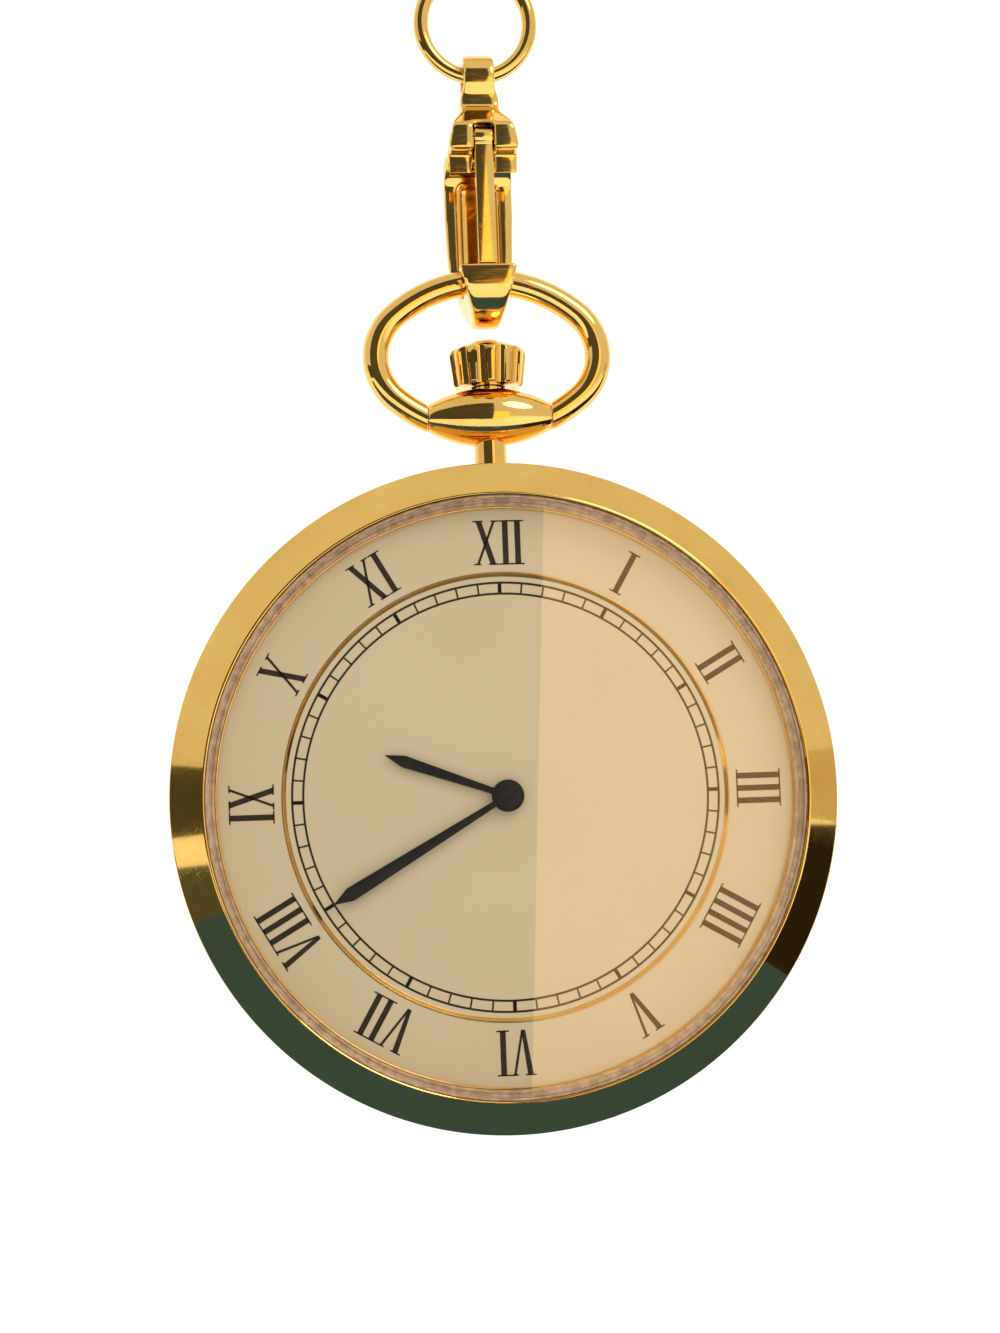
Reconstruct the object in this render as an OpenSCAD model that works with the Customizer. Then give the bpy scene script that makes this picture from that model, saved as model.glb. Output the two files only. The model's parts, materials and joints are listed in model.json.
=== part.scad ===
// Fob watch: a round pocket-watch case with its hand-wound movement, hanging by its bow from a
// snap hook and a chain ring.
//
// X runs to 3 o'clock, Z to 12 o'clock and Y to the back. Case heights are measured from the stem's
// axis towards the glass, so a height of h lies at y = -h. Places in the plane of the dial are
// [x, z] pairs from the dial's centre. The origin is the centre of the chain ring.

/* [Case] */
// Outer radius of the bezel
case_r = 25; // [23.5:0.1:31]
// How far the bezel's edge stands out past the band
bezel_over = 0.4; // [0.1:0.05:0.8]
// Height of the band's front face, where the bezel seats
band_front = 2.7; // [2.4:0.1:3.2]
// Depth of the band behind the stem's axis
band_back = 2.4; // [2.2:0.02:3]
// Thickness of the snap back's rim
back_rim = 0.5; // [0.3:0.1:0.8]
// Thickness of the snap back's floor
back_floor = 0.8; // [0.5:0.1:1.2]
// Height of the bezel's straight outer edge
bezel_edge = 0.4; // [0.2:0.1:0.8]
// Radial width of the bezel's bevel
bevel_w = 2.3; // [1.5:0.1:3]
// Height of the bezel's bevel
bevel_h = 1.6; // [0.8:0.1:2.2]
// Radial width of the bright lip inside the bevel
lip_w = 0.33; // [0.2:0.01:0.6]
// Radial width of the bezel's shoulder under the glass
shoulder_w = 0.87; // [0.5:0.01:1.2]
// Thickness of the bezel's shoulder
shoulder_t = 0.4; // [0.2:0.1:0.6]
// Depth of the bezel's spigot in the band
spigot_h = 0.65; // [0.3:0.05:0.9]
// Radial wall of the bezel's spigot
spigot_w = 0.38; // [0.3:0.01:0.6]
// Radial wall of the band at its thickest bore
band_wall = 2.6; // [2:0.1:3.2]
// Radial width of the ledge that carries the movement ring
ledge_w = 0.8; // [0.4:0.1:1.2]
// Thickness of that ledge
ledge_t = 0.4; // [0.3:0.1:0.8]
// Radial wall of the snap back's spigot
back_spigot_w = 0.65; // [0.5:0.05:1]
// Depth of the snap back's spigot
back_spigot_h = 0.65; // [0.5:0.05:0.9]
// Section radius of the back's rubber ring
back_ring_r = 0.15; // [0.1:0.01:0.2]

/* [Glass and dial] */
// Thickness of the glass
glass_t = 1.15; // [0.8:0.05:1.5]
// Radial width of the gasket's foot under the glass
gasket_w = 0.7; // [0.4:0.05:0.8]
// Thickness of the gasket's foot
gasket_foot = 0.5; // [0.3:0.05:0.8]
// Radial wall of the gasket round the glass
gasket_wall = 0.15; // [0.1:0.01:0.25]
// How far the gasket's wall stays below the glass's face
gasket_drop = 0.25; // [0.1:0.05:0.5]
// Height of the dial's outer ring
dial_front = 2.6; // [2.4:0.05:2.6]
// Height of the dial's back
dial_back = 2.05; // [2.05:0.05:2.1]
// Depth of the sunk centre below the outer ring
dial_sink = 0.2; // [0.1:0.05:0.3]
// Radius of the sunk centre
sink_r = 16.75; // [15:0.05:18]
// Radial width of the gilt step ring in the sunk centre
step_w = 0.7; // [0.4:0.05:1]
// Radius of the dial's centre hole
dial_hole_r = 1.05; // [1:0.05:1.3]

/* [Hands] */
// Time on the hands in minutes past 12
shown_minutes = 580; // [0:5:715]
// Length of the minute hand from the centre
minute_len = 15.27; // [12:0.01:16]
// Length of the hour hand from the centre
hour_len = 9.68; // [7:0.01:12]
// Greatest width of the minute hand
minute_w = 1.06; // [0.6:0.01:1.4]
// Greatest width of the hour hand
hour_w = 0.9; // [0.6:0.01:1.4]
// Length of a hand's point beyond its widest place
hand_point = 1.5; // [0.8:0.1:2.5]
// Width of a hand at its hub
hand_root = 0.4; // [0.3:0.05:0.7]
// Radius of a hand's hub
hand_hub_r = 1.2; // [1:0.05:1.5]
// Thickness of a hand
hand_t = 0.12; // [0.08:0.01:0.15]
// Height of the hour hand's underside
hour_hand_h = 2.78; // [2.7:0.01:2.8]
// Height of the minute hand's underside
minute_hand_h = 3.08; // [3.05:0.01:3.1]
// Height of the centre pin's tip
pin_tip_h = 3.35; // [3.25:0.01:3.4]

/* [Pendant and crown] */
// Radius of the stem tube between case and pendant
tube_r = 1.225; // [1.1:0.025:1.5]
// Radius of the stem tube inside the pendant and crown
upper_tube_r = 1.0; // [0.9:0.02:1.1]
// Length of stem tube that shows between case and pendant
neck_show = 1.675; // [1:0.005:3]
// Half length of the pendant along the bow's axis
pendant_half = 4.75; // [4:0.05:6]
// Radius of the pendant at its middle
pendant_r = 2.275; // [1.9:0.005:2.8]
// Radius of the pendant's flat ends
pendant_end_r = 1.0; // [0.8:0.05:1.2]
// Radius of the winding stem
stem_r = 0.6; // [0.5:0.02:0.7]
// Radius of the crown at its base
crown_base_r = 2.55; // [2.2:0.05:3]
// Largest radius of the crown
crown_r = 2.92; // [2.6:0.02:3.4]
// Height of the crown
crown_h = 3.5; // [3:0.1:4.5]
// Gap between pendant and pushed-in crown
crown_gap = 0.08; // [0.05:0.01:0.3]
// Number of flutes round the crown
flute_count = 12; // [8:1:24]
// Radius of a flute's cutter
flute_r = 0.5; // [0.3:0.05:0.6]
// How deep a flute cuts
flute_depth = 0.34; // [0.1:0.02:0.4]
// Radius of the smooth cap on the crown
cap_r = 2.1; // [1.5:0.05:2.3]
// Travel of the crown when it is pulled out
crown_travel = 0.8; // [0.5:0.1:0.9]
// Height of the rubber ring inside the crown
seal_h = 0.4; // [0.3:0.05:0.6]

/* [Bow] */
// Wire radius of the bow
bow_wire_r = 1.0; // [0.8:0.05:1.2]
// Half width of the bow, to the middle of its wire
bow_half_w = 8.53; // [7.5:0.01:10]
// Half height of the bow's oval, to the middle of its wire
bow_half_h = 5.8; // [5:0.05:7]
// Radius of the oval's two side arcs
bow_side_r = 4.2; // [3.5:0.05:4.8]
// Rise of the oval's centre above the pendant's axis
bow_rise = 4.71; // [4.2:0.01:5]
// Radius of the bow's pivot pins
bow_pin_r = 0.5; // [0.35:0.05:0.6]
// Length of each pivot pin inside the pendant
bow_pin_len = 1.2; // [0.8:0.1:1.6]

/* [Snap hook] */
// Outer radius of the hook's bend
hook_r = 3.66; // [3.5:0.02:3.7]
// Half width of the hook's loop
loop_half = 2.2; // [2.1:0.02:2.4]
// Height of the loop's straight sides
loop_straight = 6.44; // [5:0.02:8]
// Gap between the bow's wire and the bottom of the loop
loop_clear = 0.2; // [0.15:0.01:0.3]
// Half thickness of the hook at its tip
hook_tip_w = 0.95; // [0.8:0.05:1.2]
// Half thickness of the hook at its broadest
hook_w = 2.65; // [2.3:0.05:3]
// Half thickness of the neck
neck_w = 1.5; // [1.3:0.05:1.8]
// Half thickness of the eye
eye_w = 1.2; // [0.9:0.05:1.2]
// Radius of the eye's hole
eye_hole_r = 1.1; // [1.05:0.05:1.3]
// Wall of the eye
eye_wall = 0.85; // [0.6:0.05:1.2]
// Height of the eye's hole above the gate's pivot
neck_rise = 5.15; // [4.8:0.05:7]
// Half width of the channel in the hook's spine
channel_half = 1.35; // [1:0.05:1.6]
// Depth of that channel
channel_depth = 0.8; // [0.4:0.05:1]
// Half width of the gate
gate_half = 0.7; // [0.5:0.05:0.9]
// Thickness of the gate
gate_t = 0.8; // [0.5:0.05:0.9]
// Height of the gate's pivot above the middle of the loop's round top
gate_rise = 3.1; // [3:0.02:4]
// Distance of the gate's middle from the loop's straight side
gate_set = 0.555; // [0.45:0.005:0.7]
// Radius of the gate's pivot pin
gate_pin_r = 0.35; // [0.25:0.05:0.45]
// Height of the gate's free end above the bow's wire
gate_end = 0.9; // [0.8:0.02:1.2]
// How deep the gate's free end sits in the hook's tip
gate_seat = 0.1; // [0.05:0.01:0.14]

/* [Chain ring] */
// Radius of the chain ring, to the middle of its wire
ring_r = 4.2; // [3.8:0.1:5.5]
// Wire radius of the chain ring
ring_wire_r = 0.575; // [0.45:0.025:0.6]

/* [Movement plates] */
// Radius of the main plate
plate_r = 18.2; // [18:0.05:18.6]
// Inner radius of the movement ring below the plate
train_room_r = 17.6; // [17.5:0.05:17.8]
// Height of the main plate's back
plate_back = 0.8; // [0.8:0.05:0.85]
// Height of the main plate's front
plate_front = 1.3; // [1.25:0.05:1.3]
// Depth of the bridges' front face behind the stem's axis
bridge_front = 1.0; // [0.95:0.05:1.05]
// Depth of the bridges' back face behind the stem's axis
bridge_back = 1.6; // [1.5:0.05:1.6]
// Radius of the bridges
bridge_r = 17.2; // [17:0.05:17.4]
// Radius of a bridge's pillars
pillar_r = 1.0; // [0.8:0.05:1.1]
// Radius of a bridge screw's head
screw_head_r = 0.8; // [0.6:0.05:0.9]
// Radius of a bridge screw's shank
screw_r = 0.4; // [0.3:0.05:0.5]
// Height of a screw's head
screw_head_h = 0.22; // [0.15:0.01:0.25]
// Radius of a jewel
jewel_r = 0.5; // [0.4:0.05:0.6]
// Thickness of a jewel
jewel_t = 0.3; // [0.2:0.05:0.4]

/* [Going train] */
// Module of the barrel's teeth
barrel_m = 0.2; // [0.19:0.005:0.205]
// Module of the centre wheel's teeth
centre_m = 0.14; // [0.13:0.005:0.14]
// Module of the third wheel's teeth
third_m = 0.12; // [0.11:0.005:0.12]
// Module of the fourth wheel's teeth
fourth_m = 0.1; // [0.095:0.005:0.1]
// Tip radius of the escape wheel
escape_r = 2.6; // [2.4:0.05:2.7]
// Outer radius of the balance
balance_r = 4.8; // [4.2:0.05:4.9]
// Width of the balance's rim
balance_rim = 0.6; // [0.4:0.05:0.8]
// Radius of the wheels' arbors
arbor_r = 0.25; // [0.2:0.01:0.28]
// Radius of their pivots
pivot_r = 0.1; // [0.08:0.01:0.12]
// Turns of the hairspring
hairspring_turns = 9; // [6:1:12]
// Turns of the mainspring
mainspring_turns = 8; // [5:1:10]

/* [Motion works and winding] */
// Module of the motion works' teeth
motion_m = 0.16; // [0.15:0.005:0.16]
// Module of the winding wheels' teeth
winding_m = 0.2; // [0.19:0.005:0.2]
// Arm of the setting lever, from its pivot to its pin
lever_arm = 2.2; // [1.9:0.1:2.4]
// Tip radius of the winding pinion
winding_pinion_r = 1.88; // [1.8:0.02:1.9]

/* [Fits] */
// Radial clearance of a running pivot, pin or shaft
run_gap = 0.02; // [0.01:0.005:0.03]
// Radial clearance of pieces that are pressed or snapped together
seat_gap = 0.01; // [0.005:0.005:0.02]
// Clearance between flat faces that turn past each other
face_gap = 0.05; // [0.03:0.01:0.08]

/* [Hidden] */
$fn = 64;

// Colours of the metals and other materials.
gold = [0.86, 0.66, 0.30];
deep_gold = [0.70, 0.50, 0.20];
nickel = [0.78, 0.77, 0.72];
steel = [0.66, 0.67, 0.70];
brass = [0.80, 0.65, 0.32];
blued = [0.12, 0.16, 0.36];
black = [0.06, 0.05, 0.05];
ruby = [0.75, 0.10, 0.22];
cream = [0.87, 0.78, 0.60];
amber = [0.45, 0.32, 0.16];
rubber = [0.08, 0.08, 0.08];

// Case: radii and heights that follow from the sizes above.
bevel_in_r = case_r - bevel_w;
band_r = case_r - bezel_over;
glass_room_r = bevel_in_r - lip_w;
glass_r = glass_room_r - gasket_wall - 2 * seat_gap;
shoulder_r = glass_room_r - shoulder_w;
bezel_front = band_front + bezel_edge + bevel_h;
shoulder_front = dial_front + shoulder_t;
glass_back = shoulder_front + gasket_foot;
glass_front = glass_back + glass_t;
bore_r = band_r - band_wall;
spigot_out_r = bore_r + spigot_w;
spigot_back = band_front - spigot_h;
dial_r = bore_r - 0.05;
band_chamfer = 0.5;
ledge_front = -bridge_front;
ledge_back = ledge_front - ledge_t;
back_seat = -band_back;
back_outer = back_seat - back_rim - 0.5;
back_inner = back_outer + back_floor;
back_r = band_r - band_chamfer;
back_flat_r = back_r - 0.9;
back_ring_mid_r = bore_r - back_ring_r - 0.05;
back_groove_r = back_ring_mid_r - back_ring_r - seat_gap;
back_groove_half = back_ring_r + 0.03;
step_out_r = sink_r - seat_gap;
step_in_r = sink_r - step_w;
dial_centre_front = dial_front - dial_sink;

// Pendant, crown and bow: heights along Z from the dial's centre.
pendant_z = case_r + neck_show + pendant_r;
pendant_round = (pendant_half * pendant_half + pow(pendant_r - pendant_end_r, 2))
    / (2 * (pendant_r - pendant_end_r));
tube_root_z = bore_r + 0.2;
tube_step_z = pendant_z - pendant_r + 0.75;
crown_base_z = pendant_z + pendant_r + crown_gap;
crown_top_z = crown_base_z + crown_h;
crown_room_z = crown_base_z + 2.05;
upper_tube_z = crown_room_z - 0.5;
seal_z = crown_base_z + 0.2;
seal_r = upper_tube_r + run_gap + 0.26;
stem_top_z = crown_room_z + 0.7;
bow_z = pendant_z + bow_rise;
bow_wire_z = bow_z + bow_half_h;
bow_end_x = pendant_half + face_gap;
bow_arm = bow_half_w - bow_side_r;
bow_top_r = (bow_arm * bow_arm + bow_half_h * bow_half_h - bow_side_r * bow_side_r)
    / (2 * (bow_half_h - bow_side_r));
bow_drop = bow_top_r - bow_half_h;
bow_turn = atan2(bow_drop, bow_arm);

// Hook and chain ring, above the bow's wire.
loop_bottom = bow_wire_z - bow_wire_r - loop_clear;
loop_low_z = loop_bottom + loop_half;
loop_high_z = loop_low_z + loop_straight;
gate_y = -(loop_half + gate_set);
gate_z = loop_high_z + gate_rise;
eye_z = gate_z + neck_rise;
eye_hang = eye_hole_r - ring_wire_r - run_gap - (ring_r - sqrt(ring_r * ring_r - eye_w * eye_w));
ring_z = eye_z + eye_hang + ring_r;
gate_low_z = bow_wire_z + gate_end;
knuckle_r = 0.85;
block_low_z = gate_z - 1.1;

// Toothing: half widths are shares of the pitch, and heights are in modules.
dedendum = 1.25;
addendum = 0.9;
tooth_root = 0.3;
tooth_tip = 0.12;
leaf_root = 0.2;
leaf_tip = 0.1;

// How far pivots and posts reach into the plates, and where the train's arbors start.
pivot_reach = 0.2;
post_reach = 0.1;
arbor_back = -0.9;

// Going train: tooth counts and places in the dial's plane.
barrel_teeth = 72;
centre_leaves = 12;
centre_teeth = 80;
third_leaves = 10;
third_teeth = 75;
fourth_leaves = 10;
fourth_teeth = 80;
escape_leaves = 8;
escape_teeth = 15;
barrel_turn = 20;
third_turn = 200;
fourth_turn = -80;
escape_turn = -10;
pallet_turn = -15;
balance_turn = -14;
function polar(r, a) = [r * cos(a), r * sin(a)];
function mesh(m, a, b) = m * (a + b) / 2;
barrel_at = polar(mesh(barrel_m, barrel_teeth, centre_leaves), barrel_turn);
third_at = polar(mesh(centre_m, centre_teeth, third_leaves), third_turn);
fourth_at = third_at + polar(mesh(third_m, third_teeth, fourth_leaves), fourth_turn);
escape_at = fourth_at + polar(mesh(fourth_m, fourth_teeth, escape_leaves), escape_turn);
escape_back = 0.3;
escape_front = 0.5;
pallet_span = 30;
pallet_reach = escape_r / cos(pallet_span);
pallet_at = escape_at + polar(pallet_reach, pallet_turn);
balance_reach = 3.7;
balance_at = pallet_at + polar(balance_reach, balance_turn);
drum_r = barrel_m * barrel_teeth / 2 - 0.4;
drum_front = plate_back - face_gap;
drum_back = -0.45;
drum_wall = 0.4;
drum_cover_t = 0.15;
drum_top_t = 0.2;
barrel_hub_r = 1.0;
barrel_core_r = 0.6;
barrel_square = 1.2;

// Motion works: the cannon pinion, minute wheel, hour wheel and setting wheel.
cannon_leaves = 10;
minute_teeth = 30;
minute_leaves = 8;
hour_teeth = 32;
setting_teeth = 24;
minute_at = [0, mesh(motion_m, cannon_leaves, minute_teeth)];
setting_at = minute_at + [0, mesh(motion_m, minute_teeth, setting_teeth)];
motion_back = plate_front + face_gap;
motion_mid = motion_back + 0.25;
motion_front = dial_back - 0.1;
cannon_r = 0.5;
centre_arbor_r = 0.28;
hour_pipe_r = 0.85;
pipe_proud = 0.02;

// Winding work: ratchet wheel, crown wheel and the pieces along the stem.
ratchet_teeth = 70;
crown_teeth = 36;
winding_leaves = 18;
winding_reach = mesh(winding_m, ratchet_teeth, crown_teeth);
crown_lean = atan2(-sqrt(pow(winding_reach, 2) - pow(barrel_at[0], 2)), barrel_at[0]);
crown_wheel_at = [0, barrel_at[1] + sqrt(pow(winding_reach, 2) - pow(barrel_at[0], 2))];
ratchet_back = -bridge_back - 0.3;
ratchet_front = -bridge_back - face_gap;
pinion_low_z = crown_wheel_at[1] + winding_m * (crown_teeth / 2 - 1.25) + face_gap;
pinion_high_z = pinion_low_z + 1.0;
clutch_low_z = pinion_low_z - 1.85;
clutch_high_z = pinion_low_z - face_gap;
clutch_r = 1.3;
clutch_neck_r = 0.95;
clutch_neck_z = clutch_low_z + 0.5;
clutch_neck_h = 0.4;
stem_square = 0.8;
stem_pivot_r = 0.3;
stem_low_z = crown_wheel_at[1] - 1.05;
stem_square_z = clutch_low_z - 0.5;
groove_z = pinion_high_z + 1.0;
groove_h = 0.4;
groove_r = 0.35;
lever_pivot = [-lever_arm, groove_z];
lever_back = plate_front + face_gap;
lever_front = lever_back + 0.25;
window_half = winding_pinion_r + 0.2;
window_low_z = clutch_low_z - 0.1;
window_high_z = pinion_high_z + 0.12;
click_at = [-1.2, 5.6];
click_r = 0.75;
crown_boss_r = 0.9;

// Screw places of the bridges and cocks, and of the case screws.
barrel_bridge_screws = [[-11.5, 8.5], [9, 13.2], [16, -0.2]];
train_bridge_screws = [[-14.6, -1], [-8.5, -13.5], [-2.5, -14.6]];
pallet_cock_screws = [[0.9, -12.4], [1.6, -4.9]];
balance_cock_screw = [13.2, -9];
case_screw_r = bore_r - ledge_w - 1.0;
case_screw_places = [polar(case_screw_r, 150), polar(case_screw_r, -30)];
case_screw_head_r = 1.35;
barrel_screw_head_r = 1.2;
crown_screw_head_r = 1.4;
cock_screw_r = 0.75 * screw_r;
cock_screw_head_r = 1.25 * screw_r;
pallet_jewel_r = 0.35;
jewel_places = [third_at, fourth_at, escape_at, pallet_at, balance_at];
pallet_cock_front = 0.05;
pallet_cock_back = -0.25;
balance_cock_front = -1.3;
balance_cock_back = -1.9;
hairspring_back = -1.06;
hairspring_front = -0.96;
hairspring_in_r = 0.5;
collet_r = hairspring_in_r - 0.04;
hairspring_out_r = 3.1;
hairspring_w = 0.08;

// Hangs a piece that is drawn from the dial's centre below the chain ring's centre.
module hung() {
    translate([0, 0, -ring_z]) children();
}

// Puts a piece at a place in the dial's plane.
module at(place) {
    translate([place[0], 0, place[1]]) children();
}

// A flat piece between two heights, from an outline in the dial's plane.
module sheet(low, high) {
    rotate([90, 0, 0]) translate([0, 0, low]) linear_extrude(high - low) children();
}

// A round piece between two heights.
module disc(r, low, high) {
    rotate([90, 0, 0]) translate([0, 0, low]) cylinder(r = r, h = high - low);
}

// A piece turned about the dial's axis, from [radius, height] points.
module turned(points) {
    rotate([90, 0, 0]) rotate_extrude() polygon(points);
}

// A straight bar with round ends, in the dial's plane.
module bar(from, to, r) {
    run = to - from;
    translate(from) circle(r);
    translate(to) circle(r);
    translate(from) rotate(atan2(run[1], run[0])) translate([0, -r]) square([norm(run), 2 * r]);
}

// Outline of a toothed wheel with one tooth on the X axis. half_root and half_tip are half the
// tooth's width as shares of the pitch.
module toothed(count, m, half_root, half_tip) {
    pitch = 360 / count;
    pitch_r = m * count / 2;
    shares = [
        [-half_root, -dedendum], [-half_tip, addendum], [half_tip, addendum], [half_root, -dedendum]
    ];
    polygon([
        for (i = [0 : count - 1])
            for (share = shares)
                polar(pitch_r + share[1] * m, (i + share[0]) * pitch)
    ]);
}

// A wheel's toothing has broad teeth and a pinion's has narrow leaves, which leaves them play.
module wheel_teeth(count, m) {
    toothed(count, m, tooth_root, tooth_tip);
}

module pinion_leaves(count, m) {
    toothed(count, m, leaf_root, leaf_tip);
}

// A crossed-out wheel: toothing towards angle a, with a rim, a hub and spokes.
module crossed_wheel(count, m, a, rim, hub, spokes) {
    inner_r = m * (count / 2 - dedendum) - rim;
    difference() {
        rotate(a) wheel_teeth(count, m);
        circle(inner_r);
    }
    circle(hub);
    for (i = [0 : spokes - 1])
        rotate(a + i * 360 / spokes) translate([0, -rim / 2]) square([inner_r + rim / 2, rim]);
}

// A leaf gap that faces angle a, so that a wheel's tooth enters it.
function gap_towards(count, a) = a + 180 / count;

// An arbor with a pivot at each end that reaches into its jewels.
module arbor(low, high, pivot_low, pivot_high) {
    disc(arbor_r, low, high);
    disc(pivot_r, pivot_low, pivot_high);
}

// Outline of a spiral strip of width w, from radius r0 to r1.
module spiral(r0, r1, turns, w) {
    step = 18;
    steps = turns * 360 / step;
    inner = [for (i = [0 : steps]) polar(r0 + (r1 - r0) * i / steps, i * step)];
    outer = [for (i = [0 : steps]) polar(r0 + w + (r1 - r0) * (steps - i) / steps, (steps - i) * step)];
    polygon(concat(inner, outer));
}

// A screw whose head lies behind height seat and whose shank reaches forward to height tip.
module screw(r, head_r, seat, tip) {
    difference() {
        disc(head_r, seat - screw_head_h, seat);
        sheet(seat - 2 * screw_head_h, seat - screw_head_h / 2)
            square([3 * head_r, head_r / 4], center = true);
    }
    disc(r, seat, tip);
}

// Chain ring in the plane of the dial, with its lowest stretch through the hook's eye.
module chain_ring() {
    color(gold) rotate([90, 0, 0]) rotate_extrude() translate([ring_r, 0]) circle(ring_wire_r);
}

// Side view of the hook in [y, z]: bend, straight back, shoulders, neck and eye.
module hook_side() {
    translate([0, bow_wire_z]) circle(hook_r);
    translate([0, eye_z]) circle(eye_hole_r + eye_wall);
    polygon([
        [-hook_r, bow_wire_z], [hook_r, bow_wire_z], [hook_r, loop_high_z + 1.5],
        [1.4, eye_z - 2.3], [1.4, eye_z], [-1.4, eye_z], [-1.4, eye_z - 2.3],
        [-hook_r, gate_z + knuckle_r]
    ]);
}

// What is cut from the side view: the loop, the eye's hole and the gate's opening.
module hook_side_cuts() {
    translate([0, loop_low_z]) circle(loop_half);
    translate([0, loop_high_z]) circle(loop_half);
    translate([-loop_half, loop_low_z]) square([2 * loop_half, loop_straight]);
    translate([0, eye_z]) circle(eye_hole_r);
    translate([-2 * hook_r, gate_low_z - 0.2])
        square([2 * hook_r - loop_half, block_low_z - gate_low_z + 0.2]);
}

// Front view of the hook in [x, z], tapering down to its tip and up to its neck and eye.
module hook_front() {
    right = [
        [hook_tip_w, bow_wire_z - hook_r - 0.1], [hook_tip_w + 0.85, bow_wire_z - 1.06],
        [hook_w - 0.15, bow_wire_z + 1.74], [hook_w, bow_wire_z + 5.5], [hook_w, gate_z - 0.5],
        [hook_w - 0.35, gate_z + 1.2], [neck_w, gate_z + 2.4], [neck_w, eye_z - 1.6],
        [eye_w, eye_z - 0.9], [eye_w, eye_z + eye_hole_r + eye_wall + 0.1]
    ];
    left = [for (i = [len(right) - 1 : -1 : 0]) [-right[i][0], right[i][1]]];
    polygon(concat(right, left));
}

// Snap hook: a bent body with a channelled spine, a slotted block for the gate and an eye.
module hook_body() {
    slot_low_z = loop_high_z - 0.3;
    slot_high_z = gate_z + 1;
    color(gold) hung() difference() {
        intersection() {
            rotate([90, 0, 90]) translate([0, 0, -hook_w - 1]) linear_extrude(2 * hook_w + 2)
                difference() {
                    hook_side();
                    hook_side_cuts();
                }
            rotate([90, 0, 0]) translate([0, 0, -hook_r - 1]) linear_extrude(2 * hook_r + 2)
                hook_front();
        }
        translate([-channel_half, loop_half - 0.6, loop_low_z])
            cube([2 * channel_half, channel_depth + 0.6, loop_straight + 0.6]);
        translate([-gate_half - face_gap, -hook_r - 1, slot_low_z]) cube([
            2 * (gate_half + face_gap), hook_r + 1 + gate_y + knuckle_r + 0.2,
            slot_high_z - slot_low_z
        ]);
        translate([-hook_w - 1, gate_y, gate_z]) rotate([0, 90, 0])
            cylinder(r = gate_pin_r + seat_gap, h = 2 * hook_w + 2);
        translate([-gate_half - 0.1, gate_y - gate_t / 2 - 0.1, gate_low_z - gate_seat - face_gap])
            cube([2 * gate_half + 0.2, hook_r, gate_seat + 1]);
    }
}

// Gate: a flat bar that closes the hook's mouth and turns inwards on its pin.
module hook_gate() {
    color(gold) hung() difference() {
        union() {
            translate([-gate_half, gate_y - gate_t / 2, gate_low_z - gate_seat])
                cube([2 * gate_half, gate_t, gate_z - gate_low_z + gate_seat]);
            translate([-gate_half, gate_y, gate_z]) rotate([0, 90, 0])
                cylinder(r = knuckle_r - 0.15, h = 2 * gate_half);
        }
        translate([-gate_half - 1, gate_y, gate_z]) rotate([0, 90, 0])
            cylinder(r = gate_pin_r + run_gap, h = 2 * gate_half + 2);
    }
}

// Pivot pin of the gate, flush with the hook's cheeks.
module hook_pin() {
    color(deep_gold) hung() translate([-hook_w + 0.15, gate_y, gate_z]) rotate([0, 90, 0])
        cylinder(r = gate_pin_r, h = 2 * hook_w - 0.3);
}

// Bent strip spring behind the gate's knuckle, with its foot on the hook's block.
module hook_spring() {
    spring_t = 0.12;
    color(steel) hung() rotate([90, 0, 90]) translate([0, 0, -gate_half * 0.6])
        linear_extrude(gate_half * 1.2)
            polygon([
                [gate_y + knuckle_r + 0.03, gate_z + 0.9],
                [gate_y + knuckle_r + 0.03, gate_z],
                [gate_y + gate_t / 2 + 0.06, gate_z - 1.4],
                [gate_y + gate_t / 2 + 0.06, gate_z - 2.4],
                [gate_y + gate_t / 2 + 0.06 + spring_t, gate_z - 2.4],
                [gate_y + gate_t / 2 + 0.06 + spring_t, gate_z - 1.4],
                [gate_y + knuckle_r + 0.03 + spring_t, gate_z],
                [gate_y + knuckle_r + 0.03 + spring_t, gate_z + 0.9]
            ]);
}

// An arc of round wire in the plane of the dial, about centre [x, z].
module wire_arc(centre, r, from, sweep) {
    at(centre) rotate([90, 0, 0]) rotate([0, 0, from]) rotate_extrude(angle = sweep)
        translate([r, 0]) circle(bow_wire_r);
}

// A ball, a hair larger than the wire, where two arcs of the bow meet, which makes it one solid.
module wire_joint(side, rise) {
    at([side * (bow_arm + bow_side_r * cos(bow_turn)), bow_z + rise * bow_side_r * sin(bow_turn)])
        sphere(r = bow_wire_r + 0.01);
}

// Bow: a four-centred oval of round wire, cut off at the pendant's ends, with two pivot pins.
module bow() {
    low_end = acos((bow_end_x - bow_wire_r) / bow_top_r);
    pin_tip_x = pendant_half - bow_pin_len;
    pin_root = 0.4;
    color(gold) hung() {
        difference() {
            union() {
                wire_arc([0, bow_z - bow_drop], bow_top_r, bow_turn, 180 - 2 * bow_turn);
                for (side = [0, 180])
                    wire_arc([cos(side) * bow_arm, bow_z], bow_side_r, side - bow_turn, 2 * bow_turn);
                wire_arc([0, bow_z + bow_drop], bow_top_r, -low_end, low_end - bow_turn);
                wire_arc([0, bow_z + bow_drop], bow_top_r, 180 + bow_turn, low_end - bow_turn);
                for (side = [-1, 1])
                    for (rise = [-1, 1])
                        wire_joint(side, rise);
            }
            translate([-bow_end_x, -3, pendant_z - 4]) cube([2 * bow_end_x, 6, 7]);
        }
        for (side = [-1, 1])
            translate([0, 0, pendant_z]) rotate([0, side * 90, 0]) translate([0, 0, pin_tip_x])
                cylinder(r = bow_pin_r, h = bow_end_x + pin_root - pin_tip_x);
    }
}

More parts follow.
